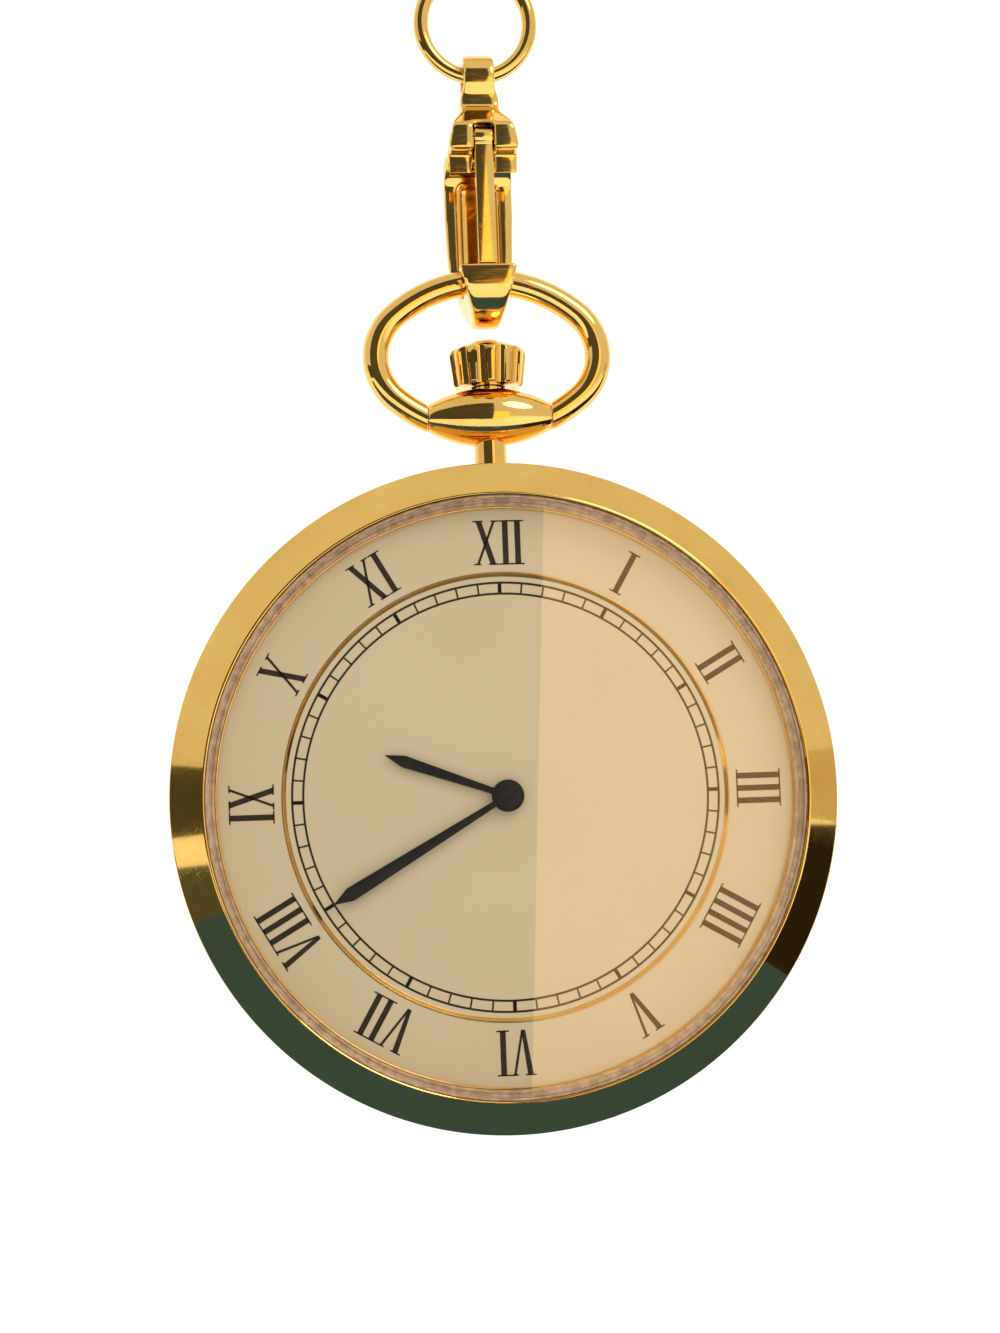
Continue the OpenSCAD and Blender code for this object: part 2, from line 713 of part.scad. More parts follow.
// Pendant: a barrel turned about the bow's axis, bored for the stem tube and the bow's pins.
module pendant() {
    color(gold) hung() difference() {
        translate([0, 0, pendant_z]) rotate([0, 90, 0]) rotate_extrude() pendant_profile();
        translate([0, 0, pendant_z - 5]) cylinder(r = upper_tube_r + seat_gap, h = 10);
        translate([0, 0, pendant_z - 5]) cylinder(r = tube_r + seat_gap, h = tube_step_z - pendant_z + 5);
        for (side = [-1, 1])
            translate([0, 0, pendant_z]) rotate([0, side * 90, 0])
                translate([0, 0, pendant_half - bow_pin_len - face_gap])
                    cylinder(r = bow_pin_r + run_gap, h = bow_pin_len + 1);
    }
}

// Half section of the pendant in [radius, x]: a circular arc between two flat ends.
module pendant_profile() {
    intersection() {
        translate([pendant_r - pendant_round, 0]) circle(pendant_round);
        translate([0, -pendant_half]) square([pendant_r + 1, 2 * pendant_half]);
    }
}

// Stem tube: from inside the band, through the pendant and up into the crown.
module stem_tube() {
    color(gold) hung() difference() {
        union() {
            translate([0, 0, tube_root_z]) cylinder(r = tube_r, h = tube_step_z - tube_root_z);
            translate([0, 0, tube_root_z]) cylinder(r = upper_tube_r, h = upper_tube_z - tube_root_z);
        }
        translate([0, 0, tube_root_z - 1]) cylinder(r = stem_r + run_gap, h = upper_tube_z);
    }
}

// Crown: a fluted button with a smooth domed cap, hollow below for the tube and its seal.
module crown() {
    shoulder_z = crown_top_z - 1.1;
    taper = atan2(crown_r - crown_base_r - 0.1, shoulder_z - crown_base_z);
    color(gold) hung() difference() {
        rotate_extrude() polygon([
            [0, crown_base_z], [crown_base_r, crown_base_z],
            [crown_base_r + 0.1, crown_base_z + 0.15], [crown_r, shoulder_z],
            [crown_r - 0.12, shoulder_z + 0.35], [cap_r + 0.2, shoulder_z + 0.62],
            [cap_r, crown_top_z - 0.4], [cap_r * 0.7, crown_top_z - 0.12], [0, crown_top_z]
        ]);
        for (i = [0 : flute_count - 1])
            rotate([0, 0, (i + 0.5) * 360 / flute_count])
                translate([crown_base_r + 0.1 + flute_r - flute_depth, 0, crown_base_z])
                    rotate([0, taper, 0]) translate([0, 0, -1]) cylinder(r = flute_r, h = crown_h + 1);
        translate([0, 0, crown_base_z - 1])
            cylinder(r = seal_r + seat_gap, h = crown_room_z - crown_base_z + 1);
        translate([0, 0, crown_base_z]) cylinder(r = stem_r + seat_gap, h = stem_top_z - crown_base_z);
    }
}

// Rubber ring that travels on the tube inside the crown.
module crown_gasket() {
    color(rubber) hung() translate([0, 0, seal_z]) difference() {
        cylinder(r = seal_r - seat_gap, h = seal_h);
        translate([0, 0, -1]) cylinder(r = upper_tube_r + run_gap, h = seal_h + 2);
    }
}

// Winding stem: round through the tube, grooved for the lever, square in the clutch, and a pivot.
module winding_stem() {
    color(steel) hung() {
        difference() {
            translate([0, 0, pinion_low_z - 0.05])
                cylinder(r = stem_r, h = stem_top_z - pinion_low_z + 0.05);
            translate([0, 0, groove_z - groove_h / 2]) difference() {
                cylinder(r = stem_r + 1, h = groove_h);
                cylinder(r = groove_r, h = groove_h);
            }
        }
        translate([-stem_square / 2, -stem_square / 2, stem_square_z])
            cube([stem_square, stem_square, pinion_low_z - stem_square_z]);
        translate([0, 0, stem_low_z]) cylinder(r = stem_pivot_r, h = pinion_low_z - stem_low_z);
    }
}

// Case middle: the band with the ledge that carries the movement, bored for the stem tube.
module case_middle() {
    color(gold) hung() difference() {
        turned([
            [spigot_out_r + 2 * seat_gap, band_front], [band_r, band_front],
            [band_r, back_seat + band_chamfer], [back_r, back_seat], [bore_r, back_seat],
            [bore_r, ledge_back], [bore_r - ledge_w, ledge_back], [bore_r - ledge_w, ledge_front],
            [bore_r, ledge_front], [bore_r, spigot_back - face_gap],
            [spigot_out_r + 2 * seat_gap, spigot_back - face_gap]
        ]);
        cylinder(r = tube_r + seat_gap, h = case_r + 1);
    }
}

// Bezel: the polished bevel with its lip, a shoulder for the glass and a spigot in the band.
module bezel() {
    color(gold) hung() turned([
        [case_r, band_front], [case_r, band_front + bezel_edge], [bevel_in_r, bezel_front],
        [glass_room_r, bezel_front], [glass_room_r, shoulder_front], [shoulder_r, shoulder_front],
        [shoulder_r, dial_front], [bore_r + seat_gap, dial_front], [bore_r + seat_gap, spigot_back],
        [spigot_out_r, spigot_back], [spigot_out_r, band_front]
    ]);
}

// Gasket with an L section that holds the glass in the bezel.
module crystal_gasket() {
    color(amber) hung() turned([
        [glass_room_r - seat_gap, shoulder_front], [glass_room_r - seat_gap, glass_front - gasket_drop],
        [glass_r + seat_gap, glass_front - gasket_drop], [glass_r + seat_gap, glass_back],
        [glass_room_r - gasket_w, glass_back], [glass_room_r - gasket_w, shoulder_front]
    ]);
}

// Flat glass with a small chamfer round its front edge.
module crystal() {
    chamfer = 0.15;
    color([0.9, 0.95, 1, 0.3]) hung() turned([
        [0, glass_back], [glass_r, glass_back], [glass_r, glass_front - chamfer],
        [glass_r - chamfer, glass_front], [0, glass_front]
    ]);
}

// Snap back: a flat floor, a chamfered rim and a spigot with a groove for the rubber ring.
module case_back() {
    spigot_r = bore_r - 2 * seat_gap;
    groove_mid = back_seat + back_spigot_h / 2;
    color(gold) hung() turned([
        [0, back_outer], [back_flat_r, back_outer], [back_r, back_seat - back_rim],
        [back_r, back_seat], [spigot_r, back_seat], [spigot_r, groove_mid - back_groove_half],
        [back_groove_r, groove_mid - back_groove_half], [back_groove_r, groove_mid + back_groove_half],
        [spigot_r, groove_mid + back_groove_half], [spigot_r, back_seat + back_spigot_h],
        [spigot_r - back_spigot_w, back_seat + back_spigot_h], [spigot_r - back_spigot_w, back_inner],
        [0, back_inner]
    ]);
}

// Rubber ring in the snap back's groove.
module back_gasket() {
    color(rubber) hung() rotate([90, 0, 0]) translate([0, 0, back_seat + back_spigot_h / 2])
        rotate_extrude() translate([back_ring_mid_r, 0]) circle(back_ring_r);
}

// Movement ring: fills the band round the movement and carries the dial.
module movement_ring() {
    color(brass) hung() difference() {
        turned([
            [plate_r + face_gap, dial_back], [dial_r, dial_back], [dial_r, ledge_front],
            [train_room_r, ledge_front], [train_room_r, plate_back],
            [plate_r + face_gap, plate_back]
        ]);
        cylinder(r = stem_r + 0.1, h = case_r);
        for (place = case_screw_places)
            at(place) disc(screw_r + seat_gap, ledge_front - 1, 0.3);
    }
}

// Screws whose heads bear on the band's ledge and hold the movement ring in.
module case_screws() {
    color(blued) hung() for (place = case_screw_places)
        at(place) screw(screw_r, case_screw_head_r, ledge_back, pivot_reach);
}

// Dial: an outer ring and a sunk centre in one plate.
module dial() {
    color(cream) hung() turned([
        [dial_hole_r, dial_back], [dial_r, dial_back], [dial_r, dial_front], [sink_r, dial_front],
        [sink_r, dial_centre_front], [dial_hole_r, dial_centre_front]
    ]);
}

// Gilt ring that bevels the step between the dial's two levels.
module dial_step_ring() {
    color(deep_gold) hung() turned([
        [step_in_r, dial_centre_front], [step_out_r, dial_centre_front], [step_out_r, dial_front + 0.05],
        [step_out_r - 0.15, dial_front + 0.05], [step_in_r, dial_centre_front + 0.08]
    ]);
}

// A lance hand: a hub with a hole and a blade that points a turn clockwise from 12.
module hand(low, turn, length, width, hole_r) {
    difference() {
        union() {
            disc(hand_hub_r, low, low + hand_t);
            sheet(low, low + hand_t) rotate(-turn) polygon([
                [-hand_root / 2, 0], [-width / 2, length - hand_point], [0, length],
                [width / 2, length - hand_point], [hand_root / 2, 0]
            ]);
        }
        disc(hole_r, low - 1, low + 1);
    }
}

module hour_hand() {
    color(black) hung() hand(hour_hand_h, shown_minutes / 2, hour_len, hour_w, hour_pipe_r + seat_gap);
}

module minute_hand() {
    color(black) hung() hand(minute_hand_h, shown_minutes * 6, minute_len, minute_w, cannon_r + seat_gap);
}

// Main plate with its pillars, the stem's two bearing blocks and the holes for every arbor.
module main_plate() {
    block_half = 3;
    color(nickel) hung() difference() {
        union() {
            disc(plate_r, plate_back, plate_front);
            for (place = concat(barrel_bridge_screws, train_bridge_screws))
                at(place) disc(pillar_r, -bridge_front, plate_back);
            for (place = pallet_cock_screws)
                at(place) disc(pillar_r, pallet_cock_front, plate_back);
            at(balance_cock_screw) disc(pillar_r + 0.4, balance_cock_front, plate_back);
            sheet(-bridge_front, plate_back) translate([-block_half, window_high_z])
                square([2 * block_half, train_room_r - 0.3 - window_high_z]);
            sheet(-bridge_front, plate_back) translate([-1.2, stem_low_z + 0.5]) square([2.4, 0.9]);
        }
        sheet(0, plate_front + 1) translate([-window_half, window_low_z])
            square([2 * window_half, window_high_z - window_low_z]);
        sheet(0, plate_front + 1) translate([-0.5, groove_z - 0.25]) square([0.8, crown_travel + 0.5]);
        cylinder(r = stem_pivot_r + run_gap, h = window_low_z + 0.1);
        translate([0, 0, window_low_z]) cylinder(r = stem_r + run_gap, h = case_r);
        disc(centre_arbor_r + run_gap, 0, 2);
        for (place = jewel_places) at(place) disc(jewel_r + seat_gap, plate_back - 0.1, plate_front + 1);
        at(barrel_at) disc(barrel_core_r + run_gap, 0, 2);
        at(minute_at) disc(arbor_r + run_gap, 0, 2);
        at(setting_at) disc(arbor_r + run_gap, 0, 2);
        at(lever_pivot) disc(arbor_r + run_gap, 0, 2);
        for (place = concat(barrel_bridge_screws, train_bridge_screws))
            at(place) disc(screw_r + seat_gap, -2, 0.2);
        for (place = pallet_cock_screws) at(place) disc(screw_r + seat_gap, -1, plate_back - 0.1);
        at(balance_cock_screw) disc(screw_r + seat_gap, -2, 0.2);
    }
}

// Line that parts the two bridges, as the height at x, with a gap of shift.
function parting(x, shift) = 1.9 - 0.25 * x + shift;

// Barrel bridge: the upper part of the back, over the barrel and under the winding wheels.
module barrel_bridge() {
    color(nickel) hung() difference() {
        sheet(-bridge_back, -bridge_front) difference() {
            intersection() {
                circle(bridge_r);
                polygon([[-20, parting(-20, 0.15)], [20, parting(20, 0.15)], [20, 20], [-20, 20]]);
            }
            translate([-window_half, window_low_z])
                square([2 * window_half, window_high_z - window_low_z]);
        }
        at(barrel_at) disc(barrel_hub_r + run_gap, -3, 0);
        for (place = barrel_bridge_screws) at(place) disc(screw_r + seat_gap, -3, 0);
        at(crown_wheel_at) disc(screw_r + seat_gap, -3, 0);
        at(click_at) disc(arbor_r + run_gap, -3, 0);
    }
}

// Train bridge: the lower left part of the back, over the centre, third, fourth and escape arbors.
module train_bridge() {
    color(nickel) hung() difference() {
        sheet(-bridge_back, -bridge_front) difference() {
            intersection() {
                circle(bridge_r);
                polygon([
                    [-20, parting(-20, -0.15)], [6, parting(6, -0.15)], [6, -3.6], [1, -4.6],
                    [-0.3, -20], [-20, -20]
                ]);
            }
            translate(balance_at) circle(balance_r + 0.5);
        }
        disc(centre_arbor_r + run_gap, -3, 0);
        for (place = [third_at, fourth_at, escape_at]) at(place) disc(jewel_r + seat_gap, -3, 0);
        for (place = train_bridge_screws) at(place) disc(screw_r + seat_gap, -3, 0);
    }
}

// Pallet cock: a small two-footed bridge over the pallet fork's arbor.
module pallet_cock() {
    color(nickel) hung() difference() {
        sheet(pallet_cock_back, pallet_cock_front) for (foot = pallet_cock_screws)
            bar(pallet_at, foot, pillar_r - 0.1);
        at(pallet_at) disc(pallet_jewel_r + seat_gap, -1, 1);
        for (place = pallet_cock_screws) at(place) disc(cock_screw_r + seat_gap, -1, 1);
    }
}

// Balance cock: an arm from its foot to the balance staff, with the hairspring's stud below it.
module balance_cock() {
    stud_r = 0.15;
    color(nickel) hung() difference() {
        union() {
            sheet(balance_cock_back, balance_cock_front) bar(balance_cock_screw, balance_at, pillar_r + 0.3);
            at(balance_at + [hairspring_out_r + stud_r + face_gap, 0])
                disc(stud_r, balance_cock_front - face_gap, hairspring_front);
        }
        at(balance_at) disc(jewel_r + seat_gap, -3, 0);
        at(balance_cock_screw) disc(screw_r + seat_gap, -3, 0);
    }
}

// Screws of both bridges and both cocks.
module bridge_screws() {
    color(blued) hung() {
        for (place = concat(barrel_bridge_screws, train_bridge_screws))
            at(place) screw(screw_r, screw_head_r, -bridge_back, 0);
        for (place = pallet_cock_screws)
            at(place) screw(cock_screw_r, cock_screw_head_r, pallet_cock_back, plate_back - 0.3);
        at(balance_cock_screw) screw(screw_r, screw_head_r, balance_cock_back, 0);
    }
}

// One jewel bearing between two heights.
module jewel(r, low, high) {
    difference() {
        disc(r, low, high);
        disc(pivot_r + run_gap, low - 1, high + 1);
    }
}

// Jewels of the main plate, the train bridge and the two cocks.
module jewels() {
    color(ruby) hung() {
        for (place = jewel_places) at(place) jewel(jewel_r, plate_back, plate_back + jewel_t);
        for (place = [third_at, fourth_at, escape_at])
            at(place) jewel(jewel_r, -bridge_front - jewel_t, -bridge_front);
        at(pallet_at) jewel(pallet_jewel_r, pallet_cock_back, pallet_cock_front);
        at(balance_at) jewel(jewel_r, balance_cock_front - jewel_t, balance_cock_front);
    }
}

// Barrel: an open drum with the first toothing round its front edge.
module barrel() {
    rim_t = 0.3;
    color(brass) hung() at(barrel_at) difference() {
        union() {
            sheet(drum_front - rim_t, drum_front) rotate(barrel_turn + 180)
                wheel_teeth(barrel_teeth, barrel_m);
            disc(drum_r, drum_back + drum_cover_t, drum_front);
        }
        disc(drum_r - drum_wall, drum_back - 1, drum_front - drum_top_t);
        disc(barrel_core_r + run_gap, drum_back - 1, drum_front + 1);
    }
}

// Cover snapped over the barrel's open side.
module barrel_cover() {
    color(brass) hung() at(barrel_at) difference() {
        disc(drum_r, drum_back, drum_back + drum_cover_t);
        disc(barrel_hub_r + run_gap, drum_back - 1, drum_front);
    }
}

// Mainspring: a spiral strip between the arbor and the drum's wall.
module mainspring() {
    strip = 0.16;
    clear = 0.05;
    low_r = barrel_hub_r + 0.04;
    high_r = drum_r - drum_wall - strip - 0.04;
    color(steel) hung() at(barrel_at)
        sheet(drum_back + drum_cover_t + clear, drum_front - drum_top_t - clear)
            spiral(low_r, high_r, mainspring_turns, strip);
}

// Barrel arbor: a core inside the drum, a pivot in the plate and a square under the ratchet wheel.
module barrel_arbor() {
    color(steel) hung() at(barrel_at) {
        disc(barrel_core_r, drum_front - drum_top_t - face_gap, plate_front);
        disc(barrel_hub_r, ratchet_front, drum_front - drum_top_t - face_gap);
        difference() {
            sheet(ratchet_back, ratchet_front) square(barrel_square, center = true);
            disc(screw_r + seat_gap, ratchet_back - 1, ratchet_front);
        }
    }
}

// Ratchet wheel on the barrel arbor's square.
module ratchet_wheel() {
    color(steel) hung() at(barrel_at) sheet(ratchet_back, ratchet_front) difference() {
        rotate(crown_lean + 180) wheel_teeth(ratchet_teeth, winding_m);
        square(barrel_square + 2 * seat_gap, center = true);
    }
}

module ratchet_screw() {
    color(blued) hung() at(barrel_at) screw(screw_r, barrel_screw_head_r, ratchet_back, ratchet_front);
}

// Crown wheel between the winding pinion and the ratchet wheel.
module crown_wheel() {
    color(steel) hung() at(crown_wheel_at) sheet(ratchet_back, ratchet_front) difference() {
        rotate(gap_towards(crown_teeth, crown_lean)) pinion_leaves(crown_teeth, winding_m);
        circle(crown_boss_r + run_gap);
    }
}

module crown_wheel_screw() {
    color(blued) hung() at(crown_wheel_at) {
        disc(crown_boss_r, ratchet_back - face_gap, -bridge_back);
        screw(screw_r, crown_screw_head_r, ratchet_back - face_gap, -bridge_front);
    }
}

// Click: the pawl beside the ratchet wheel, with its pivot in the barrel bridge.
module click() {
    nose_r = 0.3;
    nose_gap = 0.05;
    tip_turn = atan2(click_at[1] - barrel_at[1] - 2.0, click_at[0] - barrel_at[0]);
    tip = barrel_at + polar(winding_m * (ratchet_teeth / 2 + 1) + nose_r + nose_gap, tip_turn);
    color(steel) hung() {
        sheet(ratchet_back, ratchet_front) {
            translate(click_at) circle(click_r);
            bar(click_at, tip, nose_r);
        }
        at(click_at) disc(arbor_r, ratchet_front, -bridge_front);
    }
}

// Wire spring that presses the click towards the ratchet wheel.
module click_spring() {
    foot = click_at + [-3.4, 1.6];
    wire_half = 0.08;
    color(blued) hung() {
        sheet(ratchet_back + 0.05, -bridge_back) {
            translate(foot) circle(0.5);
            bar(foot, click_at + polar(click_r + 0.2, 120), wire_half);
        }
    }
}

// Centre wheel: wheel, pinion and the long arbor that carries the minute hand.
module centre_wheel() {
    wheel_back = -0.7;
    wheel_t = 0.15;
    pinion_h = 0.4;
    shoulder_r = 0.6;
    color(brass) hung() {
        sheet(wheel_back, wheel_back + wheel_t)
            crossed_wheel(centre_teeth, centre_m, third_turn, rim = 0.5, hub = 1, spokes = 5);
        sheet(plate_back - pinion_h - face_gap, plate_back - face_gap)
            rotate(gap_towards(centre_leaves, barrel_turn)) pinion_leaves(centre_leaves, barrel_m);
        disc(shoulder_r, wheel_back, plate_back - pinion_h);
        disc(centre_arbor_r, -bridge_back, pin_tip_h);
    }
}

// Third wheel and its pinion.
module third_wheel() {
    wheel_t = 0.15;
    pinion_back = -0.8;
    pinion_front = -0.45;
    color(brass) hung() at(third_at) {
        sheet(0, wheel_t)
            crossed_wheel(third_teeth, third_m, fourth_turn, rim = 0.4, hub = 0.7, spokes = 5);
        sheet(pinion_back, pinion_front) rotate(gap_towards(third_leaves, third_turn + 180))
            pinion_leaves(third_leaves, centre_m);
        arbor(arbor_back, plate_back - post_reach, -bridge_front - pivot_reach, plate_back + pivot_reach);
    }
}

// Fourth wheel and its pinion.
module fourth_wheel() {
    wheel_back = -0.42;
    wheel_front = -0.3;
    pinion_back = -0.1;
    pinion_front = 0.25;
    color(brass) hung() at(fourth_at) {
        sheet(wheel_back, wheel_front)
            crossed_wheel(fourth_teeth, fourth_m, escape_turn, rim = 0.35, hub = 0.6, spokes = 5);
        sheet(pinion_back, pinion_front) rotate(gap_towards(fourth_leaves, fourth_turn + 180))
            pinion_leaves(fourth_leaves, third_m);
        arbor(arbor_back, plate_back - post_reach, -bridge_front - pivot_reach, plate_back + pivot_reach);
    }
}

// Escape wheel with pointed teeth, and its pinion.
module escape_wheel() {
    root_r = escape_r * 0.76;
    pitch = 360 / escape_teeth;
    rim = 0.35;
    spoke_w = 0.24;
    staff_r = 0.2;
    pinion_back = -0.5;
    pinion_front = -0.2;
    color(steel) hung() at(escape_at) {
        sheet(escape_back, escape_front) {
            difference() {
                polygon([
                    for (i = [0 : escape_teeth - 1])
                        for (spot = [[root_r, 0.15], [escape_r, 0.42], [escape_r, 0.5], [root_r, 0.62]])
                            polar(spot[0], (i + spot[1]) * pitch)
                ]);
                circle(root_r - rim);
            }
            circle(0.5);
            for (i = [0 : 3])
                rotate(i * 90) translate([0, -spoke_w / 2]) square([root_r - rim / 2, spoke_w]);
        }
        sheet(pinion_back, pinion_front) rotate(gap_towards(escape_leaves, escape_turn + 180))
            pinion_leaves(escape_leaves, fourth_m);
        disc(staff_r, arbor_back, plate_back - post_reach);
        disc(pivot_r, -bridge_front - pivot_reach, plate_back + pivot_reach);
    }
}

// Pallet fork: two arms beside the escape wheel and a lever with a notch for the balance's pin.
module pallet_fork() {
    arm = pallet_reach * sin(pallet_span);
    arm_turn = 90 - pallet_span;
    back_step = polar(0.28, pallet_turn);
    arm_half = 0.16;
    lever_half = 0.13;
    hub_r = 0.4;
    staff_r = 0.18;
    horn_at = polar(balance_reach - 0.75, balance_turn);
    horn_r = 0.28;
    notch_at = polar(balance_reach - 0.52, balance_turn);
    notch_r = 0.2;
    color(steel) hung() at(pallet_at) {
        difference() {
            sheet(escape_back, escape_front) {
                circle(hub_r);
                for (side = [-1, 1])
                    bar([0, 0], polar(arm, pallet_turn + 180 + side * arm_turn) + back_step, arm_half);
                bar([0, 0], horn_at - polar(arm_half, balance_turn), lever_half);
                translate(horn_at) circle(horn_r);
            }
            sheet(0, 1) translate(notch_at) circle(notch_r);
        }
        disc(staff_r, pallet_cock_front + face_gap, plate_back - post_reach);
        disc(pivot_r, pallet_cock_back, plate_back + pivot_reach);
    }
}

// The two stones set at the ends of the fork's arms, beside the escape wheel's teeth.
module pallet_stones() {
    reach = escape_r + 0.06;
    stone_l = 0.3;
    stone_w = 0.28;
    stone_back = escape_front + 0.02;
    color(ruby) hung() at(escape_at) for (side = [-1, 1])
        sheet(stone_back, stone_back + 0.2) rotate(pallet_turn + side * pallet_span)
            translate([reach, -stone_w / 2]) square([stone_l, stone_w]);
}

// Balance: rim, two arms, staff and roller.
module balance_wheel() {
    rim_back = -0.75;
    rim_front = -0.35;
    arm_set = 0.1;
    hub_r = 0.7;
    arm_w = 0.5;
    roller_r = 0.45;
    staff_r = 0.2;
    color(brass) hung() at(balance_at) {
        sheet(rim_back, rim_front) difference() {
            circle(balance_r);
            circle(balance_r - balance_rim);
        }
        sheet(rim_back + arm_set, rim_front - arm_set) {
            circle(hub_r);
            square([2 * balance_r - balance_rim, arm_w], center = true);
        }
        disc(roller_r, -0.1, 0.1);
        disc(collet_r, hairspring_back, hairspring_front);
        disc(staff_r, balance_cock_front + face_gap, plate_back - post_reach);
        disc(pivot_r, balance_cock_front - pivot_reach, plate_back + pivot_reach);
    }
}

// Hairspring: a flat spiral from the collet on the balance staff to the stud of the balance cock.
module hairspring() {
    color(blued) hung() at(balance_at) sheet(hairspring_back, hairspring_front)
        spiral(hairspring_in_r, hairspring_out_r - hairspring_w, hairspring_turns, hairspring_w);
}

// Cannon pinion: a pipe on the centre arbor that carries the minute hand.
module cannon_pinion() {
    color(steel) hung() difference() {
        union() {
            sheet(motion_back, motion_mid) rotate(gap_towards(cannon_leaves, 90))
                pinion_leaves(cannon_leaves, motion_m);
            disc(cannon_r, motion_back, minute_hand_h + hand_t + pipe_proud);
        }
        disc(centre_arbor_r + seat_gap, 0, 4);
    }
}

// Minute wheel with its pinion, between the cannon pinion and the hour wheel.
module minute_wheel() {
    color(brass) hung() at(minute_at) {
        sheet(motion_back, motion_mid) rotate(90) wheel_teeth(minute_teeth, motion_m);
        sheet(motion_mid, motion_front) rotate(gap_towards(minute_leaves, 270))
            pinion_leaves(minute_leaves, motion_m);
        disc(arbor_r, plate_back + post_reach, motion_back);
    }
}

// Hour wheel: runs on the cannon pinion and carries the hour hand.
module hour_wheel() {
    color(brass) hung() difference() {
        union() {
            sheet(motion_mid + face_gap, motion_front) rotate(90) wheel_teeth(hour_teeth, motion_m);
            disc(hour_pipe_r, motion_front, hour_hand_h + hand_t + pipe_proud);
        }
        disc(cannon_r + run_gap, 0, 4);
    }
}

// Setting wheel between the stem's clutch and the minute wheel.
module setting_wheel() {
    color(steel) hung() at(setting_at) {
        sheet(motion_back, motion_mid) rotate(gap_towards(setting_teeth, 270))
            pinion_leaves(setting_teeth, motion_m);
        disc(arbor_r, plate_back + post_reach, motion_back);
    }
}

// Winding pinion: turns on the stem, with one tooth in the crown wheel's gap nearest to it.
module winding_pinion() {
    tooth_turn = 90 - (90 - crown_lean) * crown_teeth / winding_leaves;
    pitch_r = winding_pinion_r - 0.18;
    color(steel) hung() translate([0, 0, pinion_low_z]) difference() {
        linear_extrude(pinion_high_z - pinion_low_z) rotate(tooth_turn)
            pinion_leaves(winding_leaves, pitch_r * 2 / winding_leaves);
        translate([0, 0, -1]) cylinder(r = stem_r + run_gap, h = 3);
    }
}

// Sliding clutch on the stem's square, with a groove for the yoke.
module sliding_clutch() {
    color(steel) hung() difference() {
        translate([0, 0, clutch_low_z]) cylinder(r = clutch_r, h = clutch_high_z - clutch_low_z);
        translate([0, 0, clutch_neck_z]) difference() {
            cylinder(r = clutch_r + 1, h = clutch_neck_h);
            cylinder(r = clutch_neck_r, h = clutch_neck_h);
        }
        translate([0, 0, clutch_low_z]) cube([
            stem_square + 2 * run_gap, stem_square + 2 * run_gap, 5
        ], center = true);
    }
}

// Setting lever on the dial side, with a pin that enters the stem's groove.
module setting_lever() {
    half_w = 0.35;
    pin_r = 0.15;
    nose = lever_pivot + [-0.9, -1.4];
    color(steel) hung() {
        sheet(lever_back, lever_front) {
            bar(lever_pivot, [0, groove_z], half_w);
            bar(lever_pivot, nose, half_w);
        }
        at([0, groove_z]) disc(pin_r, groove_r + 0.08, lever_back);
        at(lever_pivot) disc(arbor_r, plate_back + post_reach, lever_back);
    }
}

// Yoke: a lever on the dial side whose finger reaches into the clutch's groove.
module yoke() {
    finger_z = clutch_neck_z + clutch_neck_h / 2;
    foot = [4.6, finger_z + 0.6];
    yoke_t = 0.25;
    half_w = 0.4;
    finger_w = 1;
    finger_t = 0.24;
    color(steel) hung() {
        sheet(plate_front, plate_front + yoke_t) bar(foot, [0, finger_z], half_w);
        sheet(clutch_neck_r + 0.05, plate_front)
            translate([-finger_w / 2, finger_z - finger_t / 2]) square([finger_w, finger_t]);
    }
}

chain_ring();
hook_body();
hook_gate();
hook_pin();
hook_spring();
bow();
pendant();
stem_tube();
crown();
crown_gasket();
winding_stem();
case_middle();
bezel();
crystal_gasket();
crystal();
case_back();
back_gasket();
movement_ring();
case_screws();
dial();
dial_step_ring();
hour_hand();
minute_hand();
main_plate();
barrel_bridge();
train_bridge();
pallet_cock();
balance_cock();
bridge_screws();
jewels();
barrel();
barrel_cover();
mainspring();
barrel_arbor();
ratchet_wheel();
ratchet_screw();
crown_wheel();
crown_wheel_screw();
click();
click_spring();
centre_wheel();
third_wheel();
fourth_wheel();
escape_wheel();
pallet_fork();
pallet_stones();
balance_wheel();
hairspring();
cannon_pinion();
minute_wheel();
hour_wheel();
setting_wheel();
winding_pinion();
sliding_clutch();
setting_lever();
yoke();
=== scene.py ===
import json
import math
import bmesh
import bpy
from mathutils import Matrix, Vector

